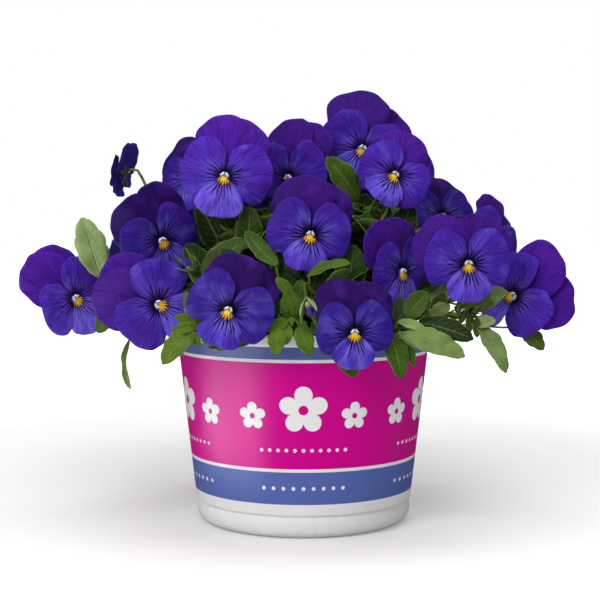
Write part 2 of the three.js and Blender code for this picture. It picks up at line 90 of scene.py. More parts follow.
# each row divided by its own length
def unit(rows):
    rows = np.asarray(rows, float)
    return rows / np.maximum(np.linalg.norm(rows, axis=-1, keepdims=True), 1e-9)


# 0 below low, 1 above high, and a smooth S between them
def ease(low, high, x):
    t = np.clip((x - low) / (high - low), 0, 1)
    return t * t * (3 - 2 * t)


# Rodrigues: the points turned about an axis through the origin
def spin(points, axis, degrees):
    axis, angle = unit(axis), np.radians(degrees)
    points = np.asarray(points, float)
    along = (points @ axis)[..., None] * axis
    return points * np.cos(angle) + np.cross(axis, points) * np.sin(angle) + along * (1 - np.cos(angle))


# points round a circle of radius 1 in the XY plane
def unitRing(sides):
    turn = np.linspace(0, fullTurn, sides, endpoint=False)
    return np.stack([np.cos(turn), np.sin(turn), 0 * turn], -1)


# values over one grid as vectors; a value may also run along one side only, or be one number
def gridVectors(*values):
    return np.stack(np.broadcast_arrays(*values), -1)


# the direction square to a grid of points: the cross product of its two slopes
def gridNormals(grid):
    return unit(np.cross(np.gradient(grid, axis=0), np.gradient(grid, axis=1)))


# quads between each row of a grid and the next; wrap also joins the last column to the first
def gridQuads(rows, columns, wrap=False):
    i = np.arange(rows - 1)[:, None]
    j = np.arange(columns if wrap else columns - 1)[None, :]
    k = (j + 1) % columns
    corners = [i * columns + j, (i + 1) * columns + j, (i + 1) * columns + k, i * columns + k]
    return gridVectors(*corners).reshape(-1, 4)


# the faces of rings of points closed by a pole at each end: quads between the rings, and a fan of
# triangles to each pole, which are the two points after the rings
def polarFaces(rings, sides):
    j = np.arange(sides)
    k = (j + 1) % sides
    last = (rings - 1) * sides
    count = rings * sides
    start = gridVectors(count, k, j, -1)
    end = gridVectors(count + 1, last + j, last + k, -1)
    return np.concatenate([gridQuads(rings, sides, wrap=True)[:, ::-1], start, end])


# A part is points, faces of four corners (the last is -1 in a triangle), the two vectors that its
# material reads at every point, and the number of its material.
def part(points, faces, spot=0.0, tone=0.0):
    blank = np.zeros((len(points), 3))
    return dict(points=points, faces=faces, spot=blank + np.asarray(spot, float),
                tone=blank + np.asarray(tone, float), material=np.zeros(len(faces), int))


# a thin closed sheet: the grid moved half its thickness to either side, joined by a wall at the rim;
# the third value of its tone is 1 on the upper side and 0 on the lower
def sheetPart(grid, thickness, spot, tone):
    rows, columns = grid.shape[:2]
    count = rows * columns
    half = gridNormals(grid) * np.asarray(thickness / 2)[..., None]
    index = np.arange(count).reshape(rows, columns)
    rim = np.concatenate([index[0, :-1], index[:-1, -1], index[-1, :0:-1], index[:0:-1, 0]])
    after = np.roll(rim, -1)
    wall = np.stack([rim, after, after + count, rim + count], -1)
    upper = gridQuads(rows, columns)
    points = np.concatenate([(grid + half).reshape(-1, 3), (grid - half).reshape(-1, 3)])
    tones = np.tile(np.asarray(tone, float), (2 * count, 1))
    tones[:, 2] = np.repeat([1.0, 0.0], count)
    faces = np.concatenate([upper, upper[:, ::-1] + count, wall])
    return part(points, faces, np.tile(spot.reshape(-1, 3), (2, 1)), tones)


# a closed tube: a circle of the given radius carried along a path, square to it, with a pole at each end
def tubePart(path, radius, sides, tone=0.0):
    path = np.asarray(path, float)
    count = len(path)
    radius = np.broadcast_to(np.asarray(radius, float), (count,))
    ahead = unit(np.gradient(path, axis=0))
    lead = np.cross(ahead[0], up if abs(ahead[0][2]) < 0.9 else [1, 0, 0])
    first = unit(lead - ahead * (ahead @ lead)[:, None])
    second = np.cross(ahead, first)
    circle = unitRing(sides)
    ring = first[:, None] * circle[:, :1] + second[:, None] * circle[:, 1:2]
    grid = path[:, None] + ring * radius[:, None, None]
    points = np.concatenate([grid.reshape(-1, 3), path[:1], path[-1:]])
    way = np.append(np.repeat(np.linspace(0, 1, count), sides), [0, 1])
    return part(points, polarFaces(count, sides), gridVectors(way, 0, 0), tone)


# a closed turned shape: radius and height pairs, from pole to pole, swept round Z
def turnedPart(radii, heights, sides, tone=0.0):
    radii, heights = np.asarray(radii, float), np.asarray(heights, float)
    grid = unitRing(sides) * radii[1:-1, None, None] + up * heights[1:-1, None, None]
    points = np.concatenate([grid.reshape(-1, 3), up * heights[[0, -1], None]])
    return part(points, polarFaces(len(radii) - 2, sides), 0.0, tone)


# the parts as one: points one after another, with the corner numbers counted on
def joined(parts):
    firsts = np.cumsum([0] + [len(p["points"]) for p in parts[:-1]])
    faces = [np.where(p["faces"] < 0, -1, p["faces"] + first) for p, first in zip(parts, firsts)]
    whole = {key: np.concatenate([p[key] for p in parts]) for key in parts[0] if key != "faces"}
    return dict(whole, faces=np.concatenate(faces))


# a part turned by a matrix, scaled and moved to its place
def moved(piece, turn, place, size=1.0):
    return dict(piece, points=piece["points"] @ (np.asarray(turn).T * size) + np.asarray(place, float))


# one object at the origin from parts in millimetres, with their vectors as attributes
def makeObject(name, parts, materials):
    whole = joined(parts)
    corners = whole["faces"]
    used = corners >= 0
    totals = used.sum(1)
    starts = np.concatenate([[0], np.cumsum(totals)[:-1]])
    mesh = bpy.data.meshes.new(name)
    mesh.vertices.add(len(whole["points"]))
    mesh.vertices.foreach_set("co", (whole["points"] * 0.001).astype(np.float32).ravel())
    mesh.loops.add(int(totals.sum()))
    mesh.loops.foreach_set("vertex_index", corners[used].astype(np.int32))
    mesh.polygons.add(len(corners))
    mesh.polygons.foreach_set("loop_start", starts.astype(np.int32))
    mesh.polygons.foreach_set("material_index", whole["material"].astype(np.int32))
    mesh.polygons.foreach_set("use_smooth", np.ones(len(corners), bool))
    for key in ("spot", "tone", "seeds"):
        if key in whole:
            attribute = mesh.attributes.new(key, "FLOAT_VECTOR", "POINT")
            attribute.data.foreach_set("vector", whole[key].astype(np.float32).ravel())
    mesh.update(calc_edges=True)
    mesh.validate()
    for material in materials:
        mesh.materials.append(material)
    piece = bpy.data.objects.new(name, mesh)
    bpy.context.scene.collection.objects.link(piece)
    return piece


# the centripetal Catmull-Rom curve at parts t of it: cubic pieces whose end slopes come from the
# neighbouring points, weighed by the fourth root of their squared distances
def curvePoints(points, t):
    points = np.asarray(points, float)
    count = len(points)
    padded = np.concatenate([2 * points[:1] - points[1:2], points, 2 * points[-1:] - points[-2:-1]])
    t = np.atleast_1d(t) * (count - 1)
    index = np.minimum(np.floor(t).astype(int), count - 2)
    weight = (t - index)[:, None]
    a, b, c, d = (padded[index + k] for k in range(4))
    gap = lambda p, q: np.maximum(((p - q) ** 2).sum(-1, keepdims=True) ** 0.25, 1e-4)
    ab, bc, cd = gap(a, b), gap(b, c), gap(c, d)
    first = ((b - a) / ab - (c - a) / (ab + bc) + (c - b) / bc) * bc
    second = ((c - b) / bc - (d - b) / (bc + cd) + (d - c) / cd) * bc
    cubic = 2 * b - 2 * c + first + second
    square = -3 * b + 3 * c - 2 * first - second
    return b + first * weight + square * weight**2 + cubic * weight**3


# points at equal parts of the curve's own length, measured over 200 short chords
def evenPoints(points, parts):
    steps = np.linspace(0, 1, 201)
    lengths = np.linalg.norm(np.diff(curvePoints(points, steps), axis=0), axis=1)
    total = np.concatenate([[0], np.cumsum(lengths)])
    return curvePoints(points, np.interp(np.atleast_1d(parts) * total[-1], total, steps))


# a node's output, so that the maths on it can be written as sums
class Wire:
    def __init__(self, socket):
        self.socket = socket
        self.tree = socket.id_data

    def __add__(self, other):
        return maths("ADD", self, other)

    def __sub__(self, other):
        return maths("SUBTRACT", self, other)

    def __mul__(self, other):
        return maths("MULTIPLY", self, other)

    def __truediv__(self, other):
        return maths("DIVIDE", self, other)

    def __pow__(self, other):
        return maths("POWER", self, other)

    def __abs__(self):
        return maths("ABSOLUTE", self)

    def __round__(self):
        return maths("ROUND", self)


# a node with its settings, and its inputs as wires to link or values to set
def addNode(tree, kind, inputs=(), **settings):
    node = tree.nodes.new(kind)
    for key, value in settings.items():
        setattr(node, key, value)
    for key, value in dict(inputs).items():
        if isinstance(value, Wire):
            tree.links.new(value.socket, node.inputs[key])
        else:
            node.inputs[key].default_value = value
    return node


# the same, as the wire from one of its outputs
def wireOf(tree, kind, output, inputs=(), **settings):
    return Wire(addNode(tree, kind, inputs, **settings).outputs[output])


# one sum on wires and numbers
def maths(operation, *values, clamp=False):
    tree = next(value.tree for value in values if isinstance(value, Wire))
    return wireOf(tree, "ShaderNodeMath", 0, enumerate(values), operation=operation, use_clamp=clamp)


# the length of a step: the square root of the sum of two squares
def lengthOf(a, b):
    return maths("SQRT", a * a + b * b)


# how far a value lies from the nearest whole number, with its sign
def pastWhole(value):
    return value - round(value)


# a smooth S from first to last as the value goes from low to high
def ramp(value, low, high, first=0.0, last=1.0):
    inputs = {"Value": value, "From Min": low, "From Max": high, "To Min": first, "To Max": last}
    return wireOf(value.tree, "ShaderNodeMapRange", "Result", inputs, interpolation_type="SMOOTHSTEP",
                  clamp=True)


# the colour between two, each a wire or a linear red, green and blue
def mixed(amount, first, second):
    first, second = [end if isinstance(end, Wire) else (*end, 1) for end in (first, second)]
    return wireOf(amount.tree, "ShaderNodeMix", 2, {0: amount, 6: first, 7: second}, data_type="RGBA")


# three values as one vector
def vectorOf(x, y, z):
    return wireOf(x.tree, "ShaderNodeCombineXYZ", 0, enumerate((x, y, z)))


# the three values of a vector
def splitVector(vector):
    return [Wire(output) for output in addNode(vector.tree, "ShaderNodeSeparateXYZ", {0: vector}).outputs]


# layered noise in space: detail is how many layers, roughness how strong the finer ones are
def noiseOf(vector, scale, detail=2.0, roughness=0.5):
    inputs = dict(Vector=vector, Scale=scale, Detail=detail, Roughness=roughness)
    return wireOf(vector.tree, "ShaderNodeTexNoise", "Fac", inputs, noise_dimensions="3D")


# the three values of one of a piece's attributes
def readVector(tree, name):
    return splitVector(wireOf(tree, "ShaderNodeAttribute", "Vector", attribute_name=name,
                              attribute_type="GEOMETRY"))


# a point's place in its object, in metres
def objectPlace(tree):
    return wireOf(tree, "ShaderNodeTexCoord", "Object")


# 1 for the rays of one kind and 0 for the others
def rayShare(tree, name):
    return wireOf(tree, "ShaderNodeLightPath", name)


# the normal of a surface raised by height x distance
def bumpOf(height, distance, strength=1.0):
    inputs = dict(Height=height, Distance=distance, Strength=strength)
    return wireOf(height.tree, "ShaderNodeBump", "Normal", inputs)


# a new material with its plain values set on the shader's own sockets, and its node tree
def startMaterial(name, plain):
    material = bpy.data.materials.new(name)
    material.use_nodes = True
    for key, value in plain.items():
        material.node_tree.nodes["Principled BSDF"].inputs[key].default_value = value
    return material, material.node_tree


# the wires that end a material, each into the shader's socket of its name
def finishMaterial(material, wires):
    for key, wire in wires.items():
        shader = material.node_tree.nodes["Principled BSDF"]
        wire.tree.links.new(wire.socket, shader.inputs[key])
    return material


# sRGB numbers from 0 to 255 as the linear colour that a shader takes
def tint(*numbers):
    share = np.array(numbers) / 255
    return tuple(np.where(share < 0.04045, share / 12.92, ((share + 0.055) / 1.055) ** 2.4).tolist())


# group: a bump height and a broad cloud that vary finely over a surface, from layered noise
def fineGrainGroup():
    group = bpy.data.node_groups.new("fineGrain", "ShaderNodeTree")
    for name, kind in (("Vector", "NodeSocketVector"), ("Scale", "NodeSocketFloat")):
        group.interface.new_socket(name, in_out="INPUT", socket_type=kind)
    for name in ("Height", "Cloud"):
        group.interface.new_socket(name, in_out="OUTPUT", socket_type="NodeSocketFloat")
    start = group.nodes.new("NodeGroupInput").outputs
    vector, scale = Wire(start["Vector"]), Wire(start["Scale"])
    fine = noiseOf(vector, scale, 4.0, 0.6)
    broad = noiseOf(vector, scale * 0.08, 3.0)
    addNode(group, "NodeGroupOutput", dict(Height=fine, Cloud=broad))
    return group


fineGrain = fineGrainGroup()


# the group placed in a material: its height and its cloud
def grainOf(vector, scale):
    node = addNode(vector.tree, "ShaderNodeGroup", dict(Vector=vector, Scale=scale), node_tree=fineGrain)
    return Wire(node.outputs["Height"]), Wire(node.outputs["Cloud"])


# The camera, the lamps and the floor
view = dict(place=(0, -0.9, 0.196), down=3.5, lens=84.0, shift=-0.0058, nearest=0.01)
camera = bpy.data.objects.new("camera", bpy.data.cameras.new("camera"))
camera.location = view["place"]
camera.rotation_euler = (np.radians(90 - view["down"]), 0, 0)
camera.data.lens = view["lens"]
camera.data.shift_x = view["shift"]
camera.data.clip_start = view["nearest"]
bpy.context.scene.collection.objects.link(camera)
bpy.context.scene.camera = camera
bpy.context.scene.view_settings.view_transform = "Standard"

# the gloss card lies on the floor facing up, and shows only as the streak of light on the pot
lamps = {
    "keyLamp": dict(place=(-0.75, -1.4, 1.05), aim=(0, 0, 0.14), size=(0.9, 0.9), power=15.3,
                    colour=(1, 0.99, 0.97)),
    "topLamp": dict(place=(0, -0.15, 1.5), aim=(0, 0, 0.14), size=(1.3, 1.1), power=13, colour=(1, 1, 1)),
    "fillLamp": dict(place=(0.7, -1.5, 0.6), aim=(0, 0, 0.12), size=(0.9, 0.9), power=0.9,
                     colour=(0.97, 0.98, 1)),
    "backLamp": dict(place=(0.2, 1.3, 1.0), aim=(0, 0, 0.16), size=(1.2, 0.9), power=5, colour=(1, 1, 1)),
    "glossCard": dict(place=(-0.2725, -0.156, 0.003), aim=(-0.2725, -0.156, 1.0), size=(0.34, 0.25),
                      turn=-48, power=4.2, colour=(1, 1, 1)),
}
for name, row in lamps.items():
    lamp = bpy.data.lights.new(name, "AREA")
    lamp.shape = "RECTANGLE"
    lamp.size, lamp.size_y = row["size"]
    lamp.energy = row["power"]
    lamp.color = row["colour"]
    away = unit(np.subtract(row["place"], row["aim"]))
    across = unit(np.cross([0, 1, 0] if abs(away[2]) > 0.99 else up, away))
    across = spin(across, away, row.get("turn", 0))
    turned = np.stack([across, np.cross(away, across), away], 1)
    holder = bpy.data.objects.new(name, lamp)
    holder.matrix_world = Matrix([[*turned[i], row["place"][i]] for i in range(3)] + [[0, 0, 0, 1]])
    bpy.context.scene.collection.objects.link(holder)
    if name == "glossCard":
        holder.visible_diffuse = holder.visible_camera = False

# the studio is white to the eye, and gives off a softer light than it shows; the floor glows white from
# the radii of glowNear and glowFar outwards, round glowPlace, also only to the eye: painted light that
# whitens the floor far out and leaves a painted soft shadow round the pot
studio = dict(shown=1.0, light=0.27, gloss=0.04, floorColour=(0.72, 0.72, 0.72),
              floorPale=(0.77, 0.77, 0.77), floorRings=(10, 200, 600, 1500, 4000, 9000), floorSides=96,
              glowPlace=(-0.03, 0.17, 0), glowNear=(0.05, 0.26, 0.0, 0.25), glowFar=(0.24, 0.75, 0.0, 0.75))


# the strength is the light's own, plus what the eye and what a gloss sees beyond it
def makeWorld(rows):
    world = bpy.data.worlds.new("studio")
    world.use_nodes = True
    tree = world.node_tree
    seen = rayShare(tree, "Is Camera Ray") * (rows["shown"] - rows["light"])
    mirrored = rayShare(tree, "Is Glossy Ray") * (rows["gloss"] - rows["light"])
    strength = seen + mirrored + rows["light"]
    tree.nodes["Background"].inputs["Color"].default_value = (1, 1, 1, 1)
    tree.links.new(strength.socket, tree.nodes["Background"].inputs["Strength"])
    return world


# a disc of rings; its glow, painted light that leaves a painted soft shadow round the pot, is a sum of
# two smooth S curves of the distance from glowPlace
def makeFloor(rows):
    material, tree = startMaterial("floorPaint", {"Roughness": 0.8, "Specular IOR Level": 0.1,
                                                  "Emission Color": (1, 1, 1, 1)})
    place = objectPlace(tree)
    away = wireOf(tree, "ShaderNodeVectorMath", "Vector", {0: place, 1: rows["glowPlace"]},
                  operation="SUBTRACT")
    reach = wireOf(tree, "ShaderNodeVectorMath", "Value", {0: away}, operation="LENGTH")
    glow = ramp(reach, *rows["glowNear"]) + ramp(reach, *rows["glowFar"])
    finishMaterial(material, {
        "Base Color": mixed(noiseOf(place, 3.0), rows["floorColour"], rows["floorPale"]),
        "Emission Strength": glow * rayShare(tree, "Is Camera Ray"),
    })
    grid = np.array(rows["floorRings"], float)[:, None, None] * unitRing(rows["floorSides"])
    sheet = part(grid.reshape(-1, 3), gridQuads(len(grid), rows["floorSides"], wrap=True))
    return makeObject("floor", [sheet], [material])


bpy.context.scene.world = makeWorld(studio)
floorPiece = makeFloor(studio)
floorPiece.visible_glossy = False
floorPiece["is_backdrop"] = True
print("camera, lamps and floor ready")

# The plant's own sizes and places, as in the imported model
petalSizes = dict(baseHalfWidth=2.2, baseAlong=1.0, turnSpread=4.0, lengthSpread=0.05, bend=0.004,
                  bendSpread=0.4, spurPath=[(0, -0.6, 1.0), (0, -0.8, -3), (0, -1.6, -7), (0, -3.4, -11)],
                  spurRadii=[3.0, 2.2, 1.5, 1.1])
usualSpread = 56
# the petals of a bloom: two upper ones (kind 0), two side ones (0.5) and the lower one (1)
petalKinds = [
    dict(kind=0.0, angle=88, fan=-0.5, length=34, width=35, lift=-2.2, slope=-0.2, widest=0.56, span=122,
         bulge=1.8, notch=0.3),
    dict(kind=0.0, angle=88, fan=0.5, length=35, width=36, lift=-1.0, slope=-0.15, widest=0.56, span=122,
         bulge=1.8, notch=0.3),
    dict(kind=0.5, angle=16, fan=0, length=25.3, width=33.5, lift=0.2, slope=0.04, widest=0.56, span=122,
         bulge=3.4, notch=0.0),
    dict(kind=0.5, angle=164, fan=0, length=25.3, width=33.5, lift=0.2, slope=0.04, widest=0.56, span=122,
         bulge=3.4, notch=0.0),
    dict(kind=1.0, angle=-90, fan=0, length=23.6, width=27, lift=1.4, slope=0.1, widest=0.63, span=112,
         bulge=1.2, notch=0.9),
]
stalkSizes = dict(hookBack=17.0, hookRise=5.0, endBack=7.45, foot=1.15, top=0.9, innerFoot=1.3,
                  innerTop=0.8)
leafSizes = dict(fold=0.22, thickness=0.5, tooth=0.13, stalkFoot=0.95, stalkTop=0.6)
shootSizes = dict(foot=1.9, top=1.5, steps=6, rootHeight=97.0, soilTop=113.0, collarHeight=120.0)

shoots = {
    "farLeft": dict(root=(-42, -12), way=[(-72, -22, 131), (-104, -32, 133)], leaves=2),
    "leftFront": dict(root=(-33, -30), way=[(-50, -46, 131), (-68, -56, 132)], leaves=2),
    "front": dict(root=(-12, -42), way=[(-18, -62, 131), (-24, -82, 132)], leaves=1),
    "frontRight": dict(root=(14, -42), way=[(20, -62, 131), (26, -84, 132)], leaves=1),
    "rightFront": dict(root=(34, -28), way=[(50, -44, 131), (68, -54, 132)], leaves=2),
    "farRight": dict(root=(43, -8), way=[(74, -16, 131), (108, -26, 133)], leaves=2),
    "rightBack": dict(root=(38, 18), way=[(62, 32, 131), (92, 46, 134)], leaves=3),
    "backRight": dict(root=(20, 38), way=[(32, 60, 131), (46, 88, 132)], leaves=3),
    "back": dict(root=(-6, 43), way=[(-10, 66, 131), (-14, 92, 132)], leaves=3),
    "backLeft": dict(root=(-28, 34), way=[(-46, 54, 131), (-66, 76, 133)], leaves=3),
    "leftBack": dict(root=(-42, 12), way=[(-70, 22, 131), (-100, 32, 134)], leaves=3),
    "middleLeft": dict(root=(-16, -8), way=[(-26, -12, 148), (-34, -12, 176)], leaves=4),
    "middleRight": dict(root=(14, 2), way=[(22, 0, 148), (32, -2, 178)], leaves=4),
    "middleBack": dict(root=(-2, 20), way=[(0, 30, 148), (4, 40, 176)], leaves=4),
}

# a bloom: its eye, the way it looks (degrees round from the front towards +X, degrees up), how far its
# face is turned, its size, the angle between its upper petals, the shoot it grows on, how far along
# that its stalk leaves, and how dark its colour is: partly its own tone and partly painted shade on
# blooms that sit in shadow
bloomRows = [
    ((-142, -33, 144), (44, 4), 41, 1.02, 28, "leftBack", 0.78, 0.15),
    ((-86, -75, 143), (26, 2), 64, 1.06, 34, "leftFront", 0.8, 0.45),
    ((-87, -42, 180), (30, -7), 26, 1.01, usualSpread, "leftFront", 0.55, 0.95),
    ((-48, -45, 219), (0, 6), -11, 1.12, 28, "middleLeft", 0.8, 0.1),
    ((-9, 2, 219), (-36, -2), 2, 1.15, 34, "middleBack", 0.65, 0.65),
    ((38, 12, 238), (4, 8), -22, 1.16, usualSpread, "middleRight", 0.95, 0.7),
    ((56, -38, 220), (12, 14), -39, 0.93, 30, "middleRight", 0.75, 0.3),
    ((-74, 4, 219), (-34, 12), 20, 0.95, usualSpread, "middleLeft", 0.7, 1.0),
    ((-119, 8, 221), (-108, 0), 0, 0.62, usualSpread, "leftBack", 0.6, 0.5),
    ((4, -78, 184), (2, 4), -10, 1, 38, "frontRight", 0.55, 0.75),
    ((-43, -100, 141), (-2, 8), -22, 1, 36, "front", 0.85, 1.0),
    ((29, -108, 129), (4, 4), 0, 0.9, usualSpread, "frontRight", 0.9, 1.0),
    ((58, -70, 162), (46, -4), 8, 0.98, usualSpread, "rightFront", 0.6, 0.6),
    ((96, -84, 167), (8, 4), 4, 1.01, 94, "farRight", 0.53, 0.5),
    ((90, 8, 194), (22, 20), 0, 0.98, usualSpread, "rightBack", 0.5, 1.0),
    ((123, -6, 181), (40, 8), -45, 0.85, usualSpread, "farRight", 0.77, 0.7),
    ((129, -42, 146), (-38, 4), -65, 1.05, 62, "farRight", 0.93, 0.3),
    ((-92, 62, 186), (-128, 12), 12, 1.05, usualSpread, "backLeft", 0.6, 0.4),
    ((-34, 62, 216), (-160, 24), -10, 1.05, usualSpread, "middleBack", 0.8, 0.7),
    ((32, 64, 210), (166, 18), 14, 1.05, usualSpread, "middleBack", 0.95, 0.2),
    ((96, 56, 176), (124, 8), -16, 1.05, usualSpread, "rightBack", 0.85, 0.8),
    ((-58, 104, 148), (-152, 2), 8, 1, usualSpread, "backLeft", 0.9, 0.3),
    ((8, 112, 150), (178, 4), -12, 1.05, usualSpread, "back", 0.9, 0.6),
    ((68, 102, 142), (148, 0), 10, 1, usualSpread, "backRight", 0.9, 0.4),
    ((-134, 34, 150), (-104, 4), -10, 1, usualSpread, "leftBack", 0.85, 0.5),
    ((148, 4, 147), (100, 0), 0, 0.68, usualSpread, "rightBack", 0.93, 0.4),
]

# a bud: its place, the way it looks, its size, its shoot and how far along that, and how much larger its
# calyx is
budRows = [
    ((-68, -66, 166), (-30, 30), 0.7, "leftFront", 0.65, 1.0),
    ((3, -97, 143), (20, -50), 0.62, "frontRight", 0.75, 1.3),
    ((74, -6, 168), (60, 50), 0.75, "farRight", 0.45, 1.0),
    ((-6, 84, 178), (175, 45), 0.75, "back", 0.6, 1.0),
]

# the leaves that the front view shows: shoot, how far along it, base, tip, width, arch, the way it
# faces, its shade, from 0, dark, to 1, light, which is partly its own green and partly painted light and
# shade, lighter where it catches the light and darker where it lies in shadow, and how fresh its green
# is; a leaf that faces the front has only how far it looks up
placedLeaves = [
    ("farLeft", 0.6, (-127, -26, 157), (-137, -34, 194), 19, 0.05, (0.2, -1, 0.3), 1.0, 0),
    ("farLeft", 0.9, (-115, -44, 139), (-125, -52, 124), 12, 0.1, 0.6, 0.4, 0.1),
    ("farLeft", 0.8, (-104, -60, 122), (-103, -70, 92), 12, 0.1, (-1, -0.4, 0.2), 0.6, 0.2),
    ("leftFront", 0.9, (-68, -84, 128), (-88, -96, 110), 14, 0.14, (0.1, -0.8, 0.8), 0.7, 0.8),
    ("leftFront", 0.5, (-65, -64, 160), (-39, -68, 181), 15, 0.06, (-0.2, -1, 0.5), 0.3, 0),
    ("front", 0.6, (1, -84, 161), (-27, -88, 181), 12, -0.06, (0.3, -1, 0.7), 0.4, 0.15),
    ("frontRight", 0.63, (2, -86, 160), (27, -94, 168), 11, 0.08, (-0.2, -0.6, 1), 0.45, 0.35),
    ("middleRight", 0.9, (34, -30, 204), (14, -36, 231), 16, 0.08, (0.3, -1, 0.3), 0.35, 0.25),
    ("rightFront", 0.7, (57, -92, 127), (92, -105, 115), 17, 0.06, (0.1, -1, 0.7), 0.75, 0.25),
    ("rightFront", 0.76, (67, -84, 133), (98, -95, 124), 14, 0.08, (-0.1, -1, 0.6), 0.1, 0),
    ("rightFront", 0.92, (104, -68, 131), (119, -82, 103), 13, 0.1, (0.3, -1, 0.4), 0.75, 0),
    ("farRight", 0.9, (131, -44, 126), (143, -53, 113), 11, 0.1, 0.6, 0.6, 0.2),
    ("farRight", 0.8, (101, -54, 137), (122, -62, 150), 15, 0.1, (0, -0.9, 0.8), 0.85, 0.35),
    ("front", 0.8, (-24, -90, 124), (-55, -88, 118), 13, 0.06, (0, -0.5, 0.9), 0.6, 0.75),
    ("front", 0.9, (-15, -93, 130), (-16, -105, 112), 12, 0.12, 0.5, 0.6, 0.9),
    ("frontRight", 0.78, (-3, -94, 131), (5, -107, 113), 12, 0.12, 0.5, 0.5, 0.75),
    ("frontRight", 0.93, (50, -89, 127), (56, -101, 102), 13, 0.12, (0.2, -1, 0.3), 0.3, 0.3),
    ("front", 0.55, (-30, -66, 146), (-52, -74, 176), 18, 0.12, (0.1, -1, 0.3), 0.25, 0),
    ("front", 0.5, (-12, -58, 146), (-14, -70, 180), 18, 0.1, 0.4, 0.2, 0),
    ("frontRight", 0.5, (26, -58, 144), (30, -70, 178), 19, 0.12, 0.4, 0.25, 0),
    ("rightFront", 0.5, (66, -52, 150), (84, -58, 184), 18, 0.12, 0.4, 0.2, 0),
    ("leftFront", 0.6, (-74, -50, 142), (-108, -58, 158), 18, 0.15, (0, -0.8, 0.8), 0.3, 0),
    ("farRight", 0.6, (92, -22, 146), (112, -14, 176), 18, 0.12, (0.2, -1, 0.3), 0.25, 0),
    ("frontRight", 0.85, (20, -94, 121), (30, -99, 103), 13, 0.1, 0.3, 0.5, 0.6),
    ("front", 0.7, (-11, -88, 134), (-12, -88, 152), 12, 0.05, 0.3, 0.35, 0.3),
    ("leftFront", 0.7, (-58, -84, 131), (-72, -94, 121), 11, 0.1, 0.6, 0.6, 0.8),
    ("rightFront", 0.66, (60, -84, 136), (72, -90, 151), 13, 0.06, 0.5, 0.35, 0.3),
    ("middleLeft", 0.6, (-34, -36, 168), (-33, -42, 201), 17, 0.04, 0.2, 0.25, 0),
]

